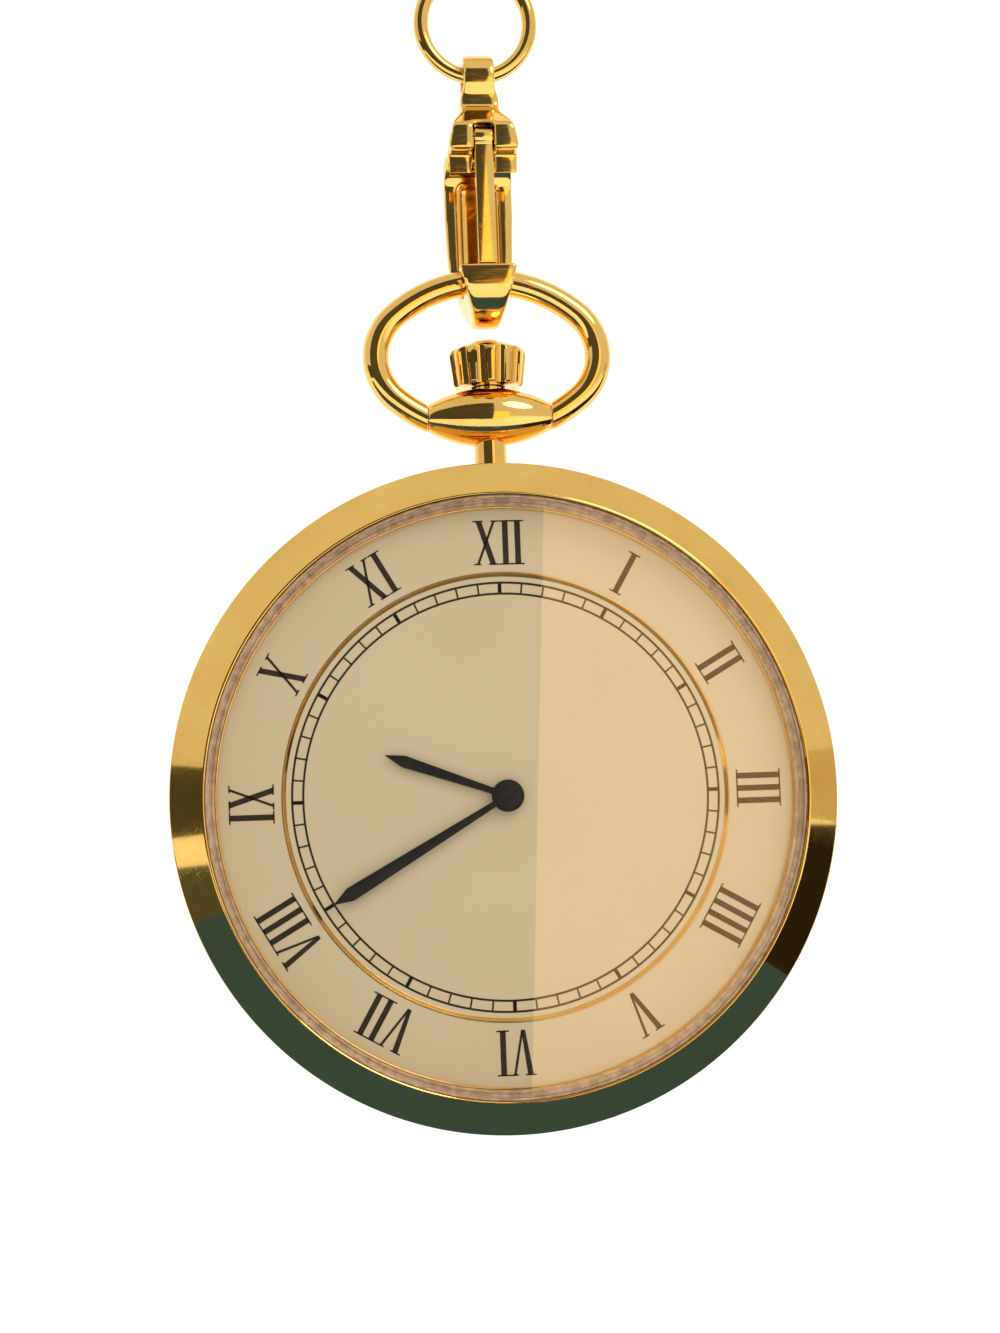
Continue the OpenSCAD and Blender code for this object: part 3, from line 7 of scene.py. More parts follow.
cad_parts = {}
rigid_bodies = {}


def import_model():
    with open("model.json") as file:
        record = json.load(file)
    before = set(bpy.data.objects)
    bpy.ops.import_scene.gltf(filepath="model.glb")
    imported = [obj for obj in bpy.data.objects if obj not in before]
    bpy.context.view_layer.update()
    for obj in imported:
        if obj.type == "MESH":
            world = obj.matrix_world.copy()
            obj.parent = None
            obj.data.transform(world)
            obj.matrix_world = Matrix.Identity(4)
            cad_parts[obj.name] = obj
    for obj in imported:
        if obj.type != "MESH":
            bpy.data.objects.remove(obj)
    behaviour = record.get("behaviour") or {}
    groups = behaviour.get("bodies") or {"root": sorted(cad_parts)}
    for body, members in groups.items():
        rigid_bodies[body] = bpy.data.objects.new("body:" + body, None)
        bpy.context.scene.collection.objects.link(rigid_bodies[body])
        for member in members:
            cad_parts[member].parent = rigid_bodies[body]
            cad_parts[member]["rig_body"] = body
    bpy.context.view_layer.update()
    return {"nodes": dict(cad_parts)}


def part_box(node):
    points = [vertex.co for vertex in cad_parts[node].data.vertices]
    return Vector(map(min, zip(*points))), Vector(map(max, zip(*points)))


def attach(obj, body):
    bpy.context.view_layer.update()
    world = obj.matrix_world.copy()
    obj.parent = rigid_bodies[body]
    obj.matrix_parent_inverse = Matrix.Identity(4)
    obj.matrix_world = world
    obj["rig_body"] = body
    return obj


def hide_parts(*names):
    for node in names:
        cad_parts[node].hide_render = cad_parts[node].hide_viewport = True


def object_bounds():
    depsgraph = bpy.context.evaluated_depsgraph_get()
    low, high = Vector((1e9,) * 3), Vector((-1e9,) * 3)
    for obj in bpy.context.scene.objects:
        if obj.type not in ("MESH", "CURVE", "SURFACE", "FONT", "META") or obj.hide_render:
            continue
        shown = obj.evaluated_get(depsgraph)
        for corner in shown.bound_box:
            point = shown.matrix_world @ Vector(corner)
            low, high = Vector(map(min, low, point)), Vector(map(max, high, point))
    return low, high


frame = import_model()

nodes = frame["nodes"]

# Studio: a white sweep of seamless paper below and behind the hanging watch, lit by an even white
# room and two soft lamps. Dark flags stand in front of the watch, below it and at its sides, with a
# warm reflector in front at the right, as for any shiny watch.
mm = 0.001
bezel_low, bezel_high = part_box("bezel")
dial_z = (bezel_low.z + bezel_high.z) / 2
scene = bpy.context.scene
scene.view_settings.view_transform = "Standard"


def new_material(name):
    """A material with its shader, and short ways to add a node and to join two sockets."""
    material = bpy.data.materials.new(name)
    material.use_nodes = True
    tree = material.node_tree

    def add(kind, **settings):
        node = tree.nodes.new("ShaderNode" + kind)
        for key, value in settings.items():
            setattr(node, key, value)
        return node

    return material, tree.nodes["Principled BSDF"], add, tree.links.new


def mesh_object(name, points, faces):
    """A mesh with its faces turned outwards, linked to the scene."""
    mesh = bpy.data.meshes.new(name)
    mesh.from_pydata([tuple(p) for p in points], [], faces)
    shape = bmesh.new()
    shape.from_mesh(mesh)
    bmesh.ops.recalc_face_normals(shape, faces=shape.faces)
    shape.to_mesh(mesh)
    shape.free()
    piece = bpy.data.objects.new(name, mesh)
    scene.collection.objects.link(piece)
    return piece


def place(x, z, h):
    """A point x to the right and z above the dial's centre, at height h towards the glass, in mm."""
    return Vector((x * mm, -h * mm, dial_z + z * mm))


def surface_of(shader):
    """The socket that takes a material's finished surface."""
    outputs = [n for n in shader.id_data.nodes if n.type == "OUTPUT_MATERIAL"]
    return outputs[0].inputs["Surface"]


# Camera: a little to the left of the glass and below it, turned so that the watch hangs 2 degrees
# out of plumb, with the chain ring just leaving the top of the frame. Lengths are in mm.
azimuth = math.radians(-6.2)
elevation = math.radians(-4.5)
turn = math.radians(-2.1)
reach = 200
view_w = 74.3
sensor_w = 36
look_at = place(0, 0, 3.2)
shift = Vector((-0.58, 9.6, 0))
towards = Vector((math.sin(azimuth) * math.cos(elevation), -math.cos(azimuth) * math.cos(elevation),
                  math.sin(elevation)))
camera = bpy.data.objects.new("camera", bpy.data.cameras.new("camera"))
camera.data.sensor_fit = "HORIZONTAL"
camera.data.sensor_width = sensor_w
camera.data.lens = sensor_w * reach / view_w
camera.data.clip_start = 0.01
look = (-towards).to_track_quat("-Z", "Y").to_matrix().to_4x4() @ Matrix.Rotation(turn, 4, "Z")
aim = look_at + look.to_3x3() @ shift * mm
camera.matrix_world = Matrix.Translation(aim + towards * reach * mm) @ look
scene.collection.objects.link(camera)
scene.camera = camera

paper, shader, add, join = new_material("seamless_paper")
shader.inputs["Base Color"].default_value = (0.9, 0.9, 0.9, 1)
shader.inputs["Roughness"].default_value = 0.9
shader.inputs["Specular IOR Level"].default_value = 0.1
ray = add("LightPath")
seen = add("Math", operation="MAXIMUM")
join(ray.outputs["Is Camera Ray"], seen.inputs[0])
join(ray.outputs["Is Glossy Ray"], seen.inputs[1])
shown = add("Math", operation="MAXIMUM")
join(seen.outputs[0], shown.inputs[0])
join(ray.outputs["Is Transmission Ray"], shown.inputs[1])
paper_glow = 0.42
white = add("Emission")
white.inputs["Strength"].default_value = paper_glow
glow = add("AddShader")
split = add("MixShader")
join(shader.outputs[0], glow.inputs[0])
join(white.outputs[0], glow.inputs[1])
join(shown.outputs[0], split.inputs["Fac"])
join(shader.outputs[0], split.inputs[1])
join(glow.outputs[0], split.inputs[2])
join(split.outputs[0], surface_of(shader))

floor_gap = 30
floor_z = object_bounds()[0][2] - floor_gap * mm
sweep_side = [(-1.2, 0), (0.25, 0), (0.36, 0.03), (0.44, 0.1), (0.47, 0.2), (0.47, 1.4)]
sweep_half_w = 1.6
sweep = mesh_object(
    "paper_sweep",
    [Vector((x, y, floor_z + z)) for y, z in sweep_side for x in (-sweep_half_w, sweep_half_w)],
    [(2 * i, 2 * i + 1, 2 * i + 3, 2 * i + 2) for i in range(len(sweep_side) - 1)],
)
sweep.data.materials.append(paper)
for face in sweep.data.polygons:
    face.use_smooth = True


def card(name, middle, across, up, width, height, colour, strength=1.0):
    """A flat reflector or flag that only shows in the metal and glass. Sizes are in mm."""
    across, up, middle = Vector(across).normalized(), Vector(up).normalized(), Vector(middle) * mm
    corners = [middle + across * sx * width * mm / 2 + up * sy * height * mm / 2
               for sx, sy in ((-1, -1), (1, -1), (1, 1), (-1, 1))]
    panel = mesh_object(name, corners, [(0, 1, 2, 3)])
    material = bpy.data.materials.new(name)
    material.use_nodes = True
    tree = material.node_tree
    tree.nodes.clear()
    output, light = tree.nodes.new("ShaderNodeOutputMaterial"), tree.nodes.new("ShaderNodeEmission")
    light.inputs["Color"].default_value = (*colour, 1)
    light.inputs["Strength"].default_value = strength
    tree.links.new(light.outputs[0], output.inputs["Surface"])
    panel.data.materials.append(material)
    panel.visible_camera = panel.visible_diffuse = panel.visible_shadow = False


mid = dial_z / mm
lean = math.radians(-3.3)
level = Vector((math.cos(lean), 0, math.sin(lean)))
upright = Vector((-math.sin(lean), 0, math.cos(lean)))
shared_edge = Vector((41, -330, mid))
front_w, warm_w = 520, 90
card("flag_front", shared_edge - level * front_w / 2, level, upright, front_w, 800, (0.08, 0.08, 0.07))
card("reflector", shared_edge + level * warm_w / 2 + upright * 28, level, upright, warm_w, 168,
     (1.0, 0.60, 0.22), 2.0)

rightwards, backwards, upwards = (1, 0, 0), (0, 1, 0), (0, 0, 1)
flag_y, flag_z, flag_depth = -28, mid - 28, 64
card("flag_below", (-15, flag_y, flag_z), rightwards, backwards, 120, flag_depth, (0.045, 0.105, 0.22))
card("flag_right", (295, flag_y, flag_z), rightwards, backwards, 500, flag_depth, (0.025, 0.02, 0.016))
card("flag_left", (-162, flag_y, flag_z), rightwards, backwards, 174, flag_depth, (0.09, 0.10, 0.08))
card("side_left", (-300, -125, mid + 14), backwards, upwards, 230, 72, (0.07, 0.075, 0.05))
card("side_right", (400, -90, mid + 12), backwards, upwards, 160, 80, (0.62, 0.56, 0.42))

world = bpy.data.worlds.new("room")
scene.world = world
world.use_nodes = True
room, wire_up = world.node_tree.nodes, world.node_tree.links.new
lit, seen_white = room["Background"], room.new("ShaderNodeBackground")
lit.inputs["Color"].default_value = (1, 0.985, 0.96, 1)
lit.inputs["Strength"].default_value = 0.78
seen_white.inputs["Color"].default_value = (1, 1, 1, 1)
ray, either = room.new("ShaderNodeLightPath"), room.new("ShaderNodeMixShader")
wire_up(ray.outputs["Is Camera Ray"], either.inputs["Fac"])
wire_up(lit.outputs[0], either.inputs[1])
wire_up(seen_white.outputs[0], either.inputs[2])
wire_up(either.outputs[0], room["World Output"].inputs["Surface"])


def lamp(name, spot, size, power, colour):
    """A round soft lamp at a spot in mm, turned to the dial's centre."""
    light = bpy.data.lights.new(name, "AREA")
    light.shape, light.size, light.energy, light.color = "DISK", size, power, colour
    holder = bpy.data.objects.new(name, light)
    holder.location = Vector(spot) * mm
    holder.rotation_euler = (place(0, 0, 0) - holder.location).to_track_quat("-Z", "Y").to_euler()
    scene.collection.objects.link(holder)


lamp("key", (260, -330, mid + 380), 0.24, 0.6, (1, 0.97, 0.92))
lamp("fill", (-160, -480, mid + 220), 0.30, 0.2, (1, 1, 1))


# Plates: the main plate, both bridges and both cocks, of brass under nickel. They are milled flat,
# then grained in fine straight lines, and held by pillars and screws.
def object_place(add):
    """The place on the piece itself, in metres."""
    return add("TexCoord").outputs["Object"]


def noise(add, join, where, scale, detail=2):
    """Even noise at a place. Its scale is per metre."""
    texture = add("TexNoise")
    texture.inputs["Scale"].default_value = scale
    texture.inputs["Detail"].default_value = detail
    join(where, texture.inputs["Vector"])
    return texture.outputs["Fac"]


def lines_along(add, join, where, turn, along, across):
    """Fine grain: noise drawn out along one direction. Sizes are per metre."""
    mapping = add("Mapping")
    mapping.inputs["Rotation"].default_value = turn
    mapping.inputs["Scale"].default_value = (along, across, across)
    join(where, mapping.inputs["Vector"])
    return noise(add, join, mapping.outputs[0], 1, 3)


def spread(add, join, value, low, high, from_low=0.3, from_high=0.7):
    """Stretches a noise's middle to the range low to high."""
    ranged = add("MapRange")
    limits = {"From Min": from_low, "From Max": from_high, "To Min": low, "To Max": high}
    for name, number in limits.items():
        ranged.inputs[name].default_value = number
    join(value, ranged.inputs["Value"])
    return ranged.outputs[0]


def blend(add, join, amount, first, second):
    """A colour between two, by amount."""
    mix = add("Mix", data_type="RGBA")
    mix.inputs[6].default_value, mix.inputs[7].default_value = (*first, 1), (*second, 1)
    join(amount, mix.inputs[0])
    return mix.outputs[2]


def tint(add, join, shader, value, first, second, from_low=0.3, from_high=0.7):
    """Colours a surface between two colours, by a noise."""
    amount = spread(add, join, value, 0, 1, from_low, from_high)
    join(blend(add, join, amount, first, second), shader.inputs["Base Color"])


def relief(add, join, shader, height, strength, depth):
    """Raises the surface by a height."""
    bump = add("Bump")
    bump.inputs["Strength"].default_value = strength
    bump.inputs["Distance"].default_value = depth
    join(height, bump.inputs["Height"])
    join(bump.outputs[0], shader.inputs["Normal"])


def grained_metal(name, light, dark, smooth, rough, turn, along=300, across=26000):
    """A metal with straight grain, cloudy in colour and in gloss."""
    material, shader, add, join = new_material(name)
    shader.inputs["Metallic"].default_value = 1
    where = object_place(add)
    grain = lines_along(add, join, where, turn, along, across)
    tint(add, join, shader, noise(add, join, where, 420, 4), light, dark)
    join(spread(add, join, grain, smooth, rough), shader.inputs["Roughness"])
    relief(add, join, shader, grain, 0.12, 0.00002)
    return material


def finish(material, *names):
    """Gives CAD nodes their material."""
    for name in names:
        nodes[name].data.materials.clear()
        nodes[name].data.materials.append(material)


nickel = grained_metal("nickel_plate", (0.70, 0.69, 0.64), (0.60, 0.59, 0.55), 0.20, 0.36, (0, 0.5, 0))
finish(nickel, "main_plate", "barrel_bridge", "train_bridge", "pallet_cock", "balance_cock")

# Train: the barrel, its cover and the wheels, cut from brass and lacquered, with the movement ring
# turned from the same bar. Each wheel is riveted to its pinion.
brass = grained_metal("lacquered_brass", (0.80, 0.58, 0.26), (0.68, 0.47, 0.19), 0.16, 0.30, (0, 1.2, 0))
finish(brass, "movement_ring", "barrel", "barrel_cover", "centre_wheel", "third_wheel", "fourth_wheel",
       "balance_wheel", "minute_wheel", "hour_wheel")

# Steelwork: the stem, clutch, pinions, levers, ratchet and crown wheel, click, escape wheel, fork,
# mainspring and the hook's gate spring, of hardened steel, polished on a tin plate until the grain
# hardly shows.
steel = grained_metal("polished_steel", (0.64, 0.64, 0.65), (0.54, 0.55, 0.57), 0.10, 0.22, (0, 0.2, 0))
finish(steel, "winding_stem", "mainspring", "barrel_arbor", "ratchet_wheel", "crown_wheel", "click",
       "escape_wheel", "pallet_fork", "cannon_pinion", "setting_wheel", "winding_pinion",
       "sliding_clutch", "setting_lever", "yoke", "hook_spring")

# Blued parts: screws, click spring and hairspring, of steel heated until its skin turns cornflower
# blue, with a trace of violet where it ran hotter.
blued = grained_metal("blued_steel", (0.030, 0.055, 0.30), (0.075, 0.030, 0.24), 0.12, 0.24, (0, 0.8, 0))
finish(blued, "case_screws", "bridge_screws", "ratchet_screw", "crown_wheel_screw", "click_spring",
       "hairspring")

# Jewels and pallet stones: synthetic ruby, ground and polished, pressed into the plates and set in
# the fork.
ruby, shader, add, join = new_material("ruby")
shader.inputs["Roughness"].default_value = 0.06
shader.inputs["IOR"].default_value = 1.76
shader.inputs["Coat Weight"].default_value = 0.4
veil = noise(add, join, object_place(add), 2200)
tint(add, join, shader, veil, (0.52, 0.012, 0.06), (0.33, 0.006, 0.035))
finish(ruby, "jewels", "pallet_stones")

# Seals: two rings moulded in black rubber, one in the snap back's groove and one inside the crown.
# They are pressed in dry, and keep dust and damp out.
rubber, shader, add, join = new_material("seal_rubber")
bloom = noise(add, join, object_place(add), 3000)
tint(add, join, shader, bloom, (0.012, 0.012, 0.012), (0.03, 0.029, 0.028))
join(spread(add, join, bloom, 0.5, 0.7), shader.inputs["Roughness"])
finish(rubber, "back_gasket", "crown_gasket")


# Case: band, bezel and snap back, turned from brass, polished and gold-plated. The bezel has a
# rounded inner lip and snaps into the band's front, and the back snaps into its rear.
def gold(name, light, deep, smooth, rough, scratch):
    """Polished gold plate: cloudy colour, fine hairlines two ways and a faint swell."""
    material, shader, add, join = new_material(name)
    shader.inputs["Metallic"].default_value = 1
    where = object_place(add)
    cloud = noise(add, join, where, 260, 5)
    tint(add, join, shader, cloud, light, deep)
    lines = lines_along(add, join, where, (0.3, 0.9, 0.4), 260, 17000)
    first = spread(add, join, lines, 0, 1, 0.62, 0.74)
    lines = lines_along(add, join, where, (1.1, -0.6, 0.2), 340, 21000)
    second = spread(add, join, lines, 0, 1, 0.64, 0.76)
    hairlines = add("Math", operation="MAXIMUM")
    join(first, hairlines.inputs[0])
    join(second, hairlines.inputs[1])
    wear = add("Math", operation="MULTIPLY")
    join(hairlines.outputs[0], wear.inputs[0])
    join(spread(add, join, cloud, 0.2, 1), wear.inputs[1])
    join(spread(add, join, wear.outputs[0], smooth, rough, 0, 1), shader.inputs["Roughness"])
    relief(add, join, shader, wear.outputs[0], scratch, 0.00001)
    return material


def eased(outline, radius, closed=True):
    """An outline in [radius, height] with small round corners, and a holding point beside each."""
    points, count = [], len(outline)
    for i, corner in enumerate(outline):
        corner = Vector(corner)
        before, after = Vector(outline[i - 1]), Vector(outline[(i + 1) % count])
        ends = not closed and i in (0, count - 1)
        if corner.x < 1e-6 or ends:
            points.append(corner)
            continue
        back, on = before - corner, after - corner
        cut = min(radius, 0.3 * back.length, 0.3 * on.length)
        start, stop = corner + back.normalized() * cut, corner + on.normalized() * cut
        points.append(corner + back.normalized() * cut * 1.25)
        for k in range(5):
            t = k / 4
            points.append((1 - t) ** 2 * start + 2 * t * (1 - t) * corner + t ** 2 * stop)
        points.append(corner + on.normalized() * cut * 1.25)
    return points


def smoothed(piece, angle=35):
    """Shades a piece smooth, but for edges sharper than an angle in degrees."""
    for face in piece.data.polygons:
        face.use_smooth = True
    piece.data.set_sharp_from_angle(angle=math.radians(angle))


def lathe(name, outline, middle, axis, aside, steps=288):
    """A piece turned about an axis through middle, from a closed [radius, height] outline in mm."""
    axis, aside = Vector(axis), Vector(aside)
    across = axis.cross(aside)
    points, rings = [], []
    for r, h in outline:
        if r < 1e-6:
            rings.append([len(points)])
            points.append(middle + axis * h * mm)
        else:
            rings.append(list(range(len(points), len(points) + steps)))
            for k in range(steps):
                a = 2 * math.pi * k / steps
                outwards = aside * math.cos(a) + across * math.sin(a)
                points.append(middle + axis * h * mm + outwards * r * mm)
    faces = []
    for i, ring in enumerate(rings):
        other = rings[(i + 1) % len(rings)]
        if len(ring) == 1 and len(other) == 1:
            continue
        for k in range(steps):
            n = (k + 1) % steps
            corners = [ring[k % len(ring)], ring[n % len(ring)],
                       other[n % len(other)], other[k % len(other)]]
            faces.append(tuple(dict.fromkeys(corners)))
    piece = mesh_object(name, points, faces)
    smoothed(piece)
    return piece


def turned(name, outline, radius=0.06):
    """A piece turned about the dial's axis, from [radius, height] corners in mm."""
    return lathe(name, eased(outline, radius), place(0, 0, 0), (0, -1, 0), (1, 0, 0))


def fit(piece, node, material):
    """The piece stands for a CAD node, rides its body and takes its material slot."""
    piece.data.materials.clear()
    piece.data.materials.append(material)
    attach(piece, nodes[node]["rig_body"])
    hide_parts(node)


case_gold = gold("polished_gold", (0.95, 0.62, 0.175), (0.88, 0.53, 0.135), 0.055, 0.20, 0.10)
fit(turned("band", [
    (22.4, 2.7), (24.6, 2.7), (24.6, -1.9), (24.1, -2.4), (22.0, -2.4), (22.0, -1.4), (21.2, -1.4),
    (21.2, -1.0), (22.0, -1.0), (22.0, 2.0), (22.4, 2.0)], 0.12), "case_middle", case_gold)
bezel_top, bezel_bore, lip_half = 4.7, 22.37, 0.165
lip = []
for degrees in range(55, 181, 25):
    a = math.radians(degrees)
    lip.append((bezel_bore + lip_half * (1 + math.cos(a)), bezel_top - lip_half * (1 - math.sin(a))))
fit(turned("bezel_ring", [
    (25.0, 2.7), (25.0, 3.1), *lip, (bezel_bore, 3.0), (21.5, 3.0), (21.5, 2.6),
    (22.01, 2.6), (22.01, 2.05), (22.38, 2.05), (22.38, 2.7)], 0.10), "bezel", case_gold)
fit(turned("snap_back", [
    (0, -3.4), (23.2, -3.4), (24.1, -2.9), (24.1, -2.4), (21.98, -2.4), (21.98, -2.255), (21.65, -2.255),
    (21.65, -1.895), (21.98, -1.895), (21.98, -1.75), (21.33, -1.75), (21.33, -2.6), (0, -2.6)], 0.15),
    "case_back", case_gold)

# Dial: one brass plate with a raised outer ring and a sunk centre, sprayed with cream lacquer that
# has a satin skin and a faint grain.
cream, shader, add, join = new_material("cream_lacquer")
shader.inputs["Roughness"].default_value = 0.42
shader.inputs["Coat Weight"].default_value = 0.25
shader.inputs["Coat Roughness"].default_value = 0.3
where = object_place(add)
speck = noise(add, join, where, 9000)
sum_of = add("Math", operation="ADD")
join(spread(add, join, speck, -0.25, 0.25), sum_of.inputs[0])
join(spread(add, join, noise(add, join, where, 90), 0.2, 0.8), sum_of.inputs[1])
cream_colour = blend(add, join, sum_of.outputs[0], (0.670, 0.540, 0.322), (0.632, 0.502, 0.290))
join(cream_colour, shader.inputs["Base Color"])
relief(add, join, shader, speck, 0.05, 0.00001)
dial_back, dial_floor, dial_top = 2.05, 2.4, 2.6
dial_r, dial_hole_r, sunk_r = 21.95, 1.05, 16.75
fit(turned("dial_plate", [
    (dial_hole_r, dial_back), (dial_r, dial_back), (dial_r, dial_top), (sunk_r, dial_top),
    (sunk_r, dial_floor), (dial_hole_r, dial_floor)], 0.04), "dial", cream)

# Step ring: a thin ring that lines the step down to the dial's centre. Its narrow wall is turned
# bright and gilt, and its shelf inside that is lacquered like the dial.
gilt = gold("gilt_ring", (0.86, 0.50, 0.13), (0.70, 0.38, 0.09), 0.09, 0.24, 0.1)
shelf_r, step_in_r, step_out_r, step_top = 16.42, 16.06, 16.74, 2.65
step_ring = turned("gilt_step", [
    (step_in_r, dial_floor), (step_out_r, dial_floor), (step_out_r, step_top),
    (step_out_r - 0.08, step_top), (shelf_r, dial_floor + 0.05), (step_in_r, dial_floor + 0.03)], 0.02)
fit(step_ring, "dial_step_ring", gilt)
step_ring.data.materials.append(cream)
for face in step_ring.data.polygons:
    off_axis = face.center - place(0, 0, 0)
    if math.hypot(off_axis.x, off_axis.z) < shelf_r * mm:
        face.material_index = 1

# Printing on the dial: the minute track and the Roman numerals, pad-printed in dark brown enamel
# that stands a little proud of the lacquer.
enamel, shader, add, join = new_material("numeral_enamel")
shader.inputs["Roughness"].default_value = 0.5
shader.inputs["Specular IOR Level"].default_value = 0.15
ink = noise(add, join, object_place(add), 5000)
tint(add, join, shader, ink, (0.022, 0.013, 0.007), (0.040, 0.024, 0.013))
print_t = 0.015


def socket_of(tree, name):
    """The identifier of a tree's input."""
    return next(s.identifier for s in tree.interface.items_tree if s.name == name)


def track_tree():
    """Geometry nodes: bars set on a circle about the dial's axis, longer side towards the middle."""
    tree = bpy.data.node_groups.new("track_marks", "GeometryNodeTree")
    tree.interface.new_socket("Geometry", in_out="INPUT", socket_type="NodeSocketGeometry")
    for name, kind in (("Marks", "Int"), ("Circle radius", "Float"), ("Length", "Float"),
                       ("Width", "Float"), ("Thickness", "Float"), ("Centre", "Vector"),
                       ("Material", "Material")):
        tree.interface.new_socket(name, in_out="INPUT", socket_type="NodeSocket" + kind)
    tree.interface.new_socket("Geometry", in_out="OUTPUT", socket_type="NodeSocketGeometry")
    add, join = lambda kind: tree.nodes.new(kind), tree.links.new
    inputs, output = add("NodeGroupInput"), add("NodeGroupOutput")
    circle, points = add("GeometryNodeMeshCircle"), add("GeometryNodeMeshToPoints")
    join(inputs.outputs["Marks"], circle.inputs["Vertices"])
    join(inputs.outputs["Circle radius"], circle.inputs["Radius"])
    join(circle.outputs[0], points.inputs[0])
    size, block = add("ShaderNodeCombineXYZ"), add("GeometryNodeMeshCube")
    join(inputs.outputs["Length"], size.inputs[0])
    join(inputs.outputs["Width"], size.inputs[1])
    join(inputs.outputs["Thickness"], size.inputs[2])
    join(size.outputs[0], block.inputs["Size"])
    spot, aligned = add("GeometryNodeInputPosition"), add("FunctionNodeAlignRotationToVector")
    aligned.axis = "X"
    aligned.pivot_axis = "Z"
    join(spot.outputs[0], aligned.inputs["Vector"])
    copies = add("GeometryNodeInstanceOnPoints")
    join(points.outputs[0], copies.inputs["Points"])
    join(block.outputs[0], copies.inputs["Instance"])
    join(aligned.outputs[0], copies.inputs["Rotation"])
    moved = add("GeometryNodeTransform")
    join(copies.outputs[0], moved.inputs["Geometry"])
    join(inputs.outputs["Centre"], moved.inputs["Translation"])
    moved.inputs["Rotation"].default_value = (math.pi / 2, 0, 0)
    real, painted = add("GeometryNodeRealizeInstances"), add("GeometryNodeSetMaterial")
    join(moved.outputs[0], real.inputs[0])
    join(real.outputs[0], painted.inputs["Geometry"])
    join(inputs.outputs["Material"], painted.inputs["Material"])
    join(painted.outputs[0], output.inputs[0])
    return tree


def grown(name, base, tree, settings):
    """The plain mesh that a tree of geometry nodes makes on a base object."""
    modifier = base.modifiers.new("grow", "NODES")
    modifier.node_group = tree
    for key, value in settings.items():
        modifier[socket_of(tree, key)] = value
    bpy.context.view_layer.update()
    mesh = bpy.data.meshes.new_from_object(base.evaluated_get(bpy.context.evaluated_depsgraph_get()))
    base.modifiers.remove(modifier)
    bpy.data.objects.remove(base)
    mesh.name = name
    piece = bpy.data.objects.new(name, mesh)
    scene.collection.objects.link(piece)
    return piece


def printed(piece):
    """The piece is enamel on the dial, and rides the case with it."""
    piece.data.materials.clear()
    piece.data.materials.append(enamel)
    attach(piece, "case")


marks = track_tree()
track_in_r, track_out_r, line_half = 15.15, 15.97, 0.08
print_low, print_high = dial_floor, dial_floor + print_t
for name, count, width in (("minute_marks", 60, 0.13), ("five_minute_marks", 12, 0.28)):
    printed(grown(name, mesh_object(name + "_seed", [(0, 0, 0)], []), marks, {
        "Marks": count, "Circle radius": (track_in_r + track_out_r) / 2 * mm,
        "Length": (track_out_r - track_in_r) * mm, "Width": width * mm, "Thickness": print_t * mm,
        "Centre": place(0, 0, dial_floor + print_t / 2), "Material": enamel}))
for name, r in (("track_inner", track_in_r), ("track_outer", track_out_r)):
    low_r, high_r = r - line_half, r + line_half
    printed(turned(name, [
        (low_r, print_low), (high_r, print_low), (high_r, print_high), (low_r, print_high)], 0.003))

numeral_foot, numeral_top = 17.3, 20.65
thick, thin, serif_h = 0.43, 0.2, 0.11
letter_gap, overhang = 0.5, 0.26


def numeral_strokes(numeral):
    """The strokes of a numeral, each a quad of (across, up) corners, centred on the numeral."""
    height, strokes, pen = numeral_top - numeral_foot, [], 0.0
    for letter in numeral:
        wide = thick if letter == "I" else 1.5
        if letter == "I":
            strokes.append([(pen, 0), (pen + thick, 0), (pen + thick, height), (pen, height)])
            feet = tops = [(pen - overhang, pen + thick + overhang)]
        elif letter == "V":
            strokes += [[(pen + 0.55, 0), (pen + 0.85, 0), (pen + thick, height), (pen, height)],
                        [(pen + 0.68, 0), (pen + 0.85, 0), (pen + wide, height),
                         (pen + wide - thin, height)]]
            feet, tops = [], [(pen - 0.2, pen + thick + 0.16), (pen + wide - 0.36, pen + wide + 0.22)]
        else:
            strokes += [[(pen + wide - thick, 0), (pen + wide, 0), (pen + thick, height), (pen, height)],
                        [(pen, 0), (pen + thin, 0), (pen + wide, height), (pen + wide - thin, height)]]
            feet = [(pen - 0.18, pen + 0.36), (pen + wide - thick - 0.14, pen + wide + 0.2)]
            tops = [(pen - 0.2, pen + thick + 0.14), (pen + wide - 0.36, pen + wide + 0.2)]
        for low, ends in ((0, feet), (height - serif_h, tops)):
            high = low + serif_h
            strokes += [[(a, low), (b, low), (b, high), (a, high)] for a, b in ends]
        pen += wide + letter_gap
    middle = (pen - letter_gap) / 2
    return [[(x - middle, y) for x, y in quad] for quad in strokes]


numerals = ("XII", "I", "II", "III", "IIII", "V", "VI", "VII", "VIII", "IX", "X", "XI")
points, faces = [], []
for hour, numeral in enumerate(numerals):
    a = math.radians(hour * 30)
    for quad in numeral_strokes(numeral):
        low = len(points)
        high = low + 4
        for h in (dial_top, dial_top + print_t):
            for x, y in quad:
                up = numeral_foot + y
                spot = x * math.cos(a) + up * math.sin(a), up * math.cos(a) - x * math.sin(a)
                points.append(place(*spot, h))
        faces += [tuple(range(low, low + 4)), tuple(range(high, high + 4))]
        faces += [(low + k, low + (k + 1) % 4, high + (k + 1) % 4, high + k) for k in range(4)]
printed(mesh_object("roman_numerals", points, faces))

# Hands: two slim lance hands stamped from steel and lacquered black, pressed on the hour wheel's
# pipe and on the cannon pinion, with a small black cap over the pin.
lacquer, shader, add, join = new_material("black_lacquer")
shader.inputs["Roughness"].default_value = 0.3
shader.inputs["Specular IOR Level"].default_value = 0.14
ripple = noise(add, join, object_place(add), 1400)
tint(add, join, shader, ripple, (0.010, 0.009, 0.008), (0.020, 0.017, 0.014))
relief(add, join, shader, ripple, 0.04, 0.00002)


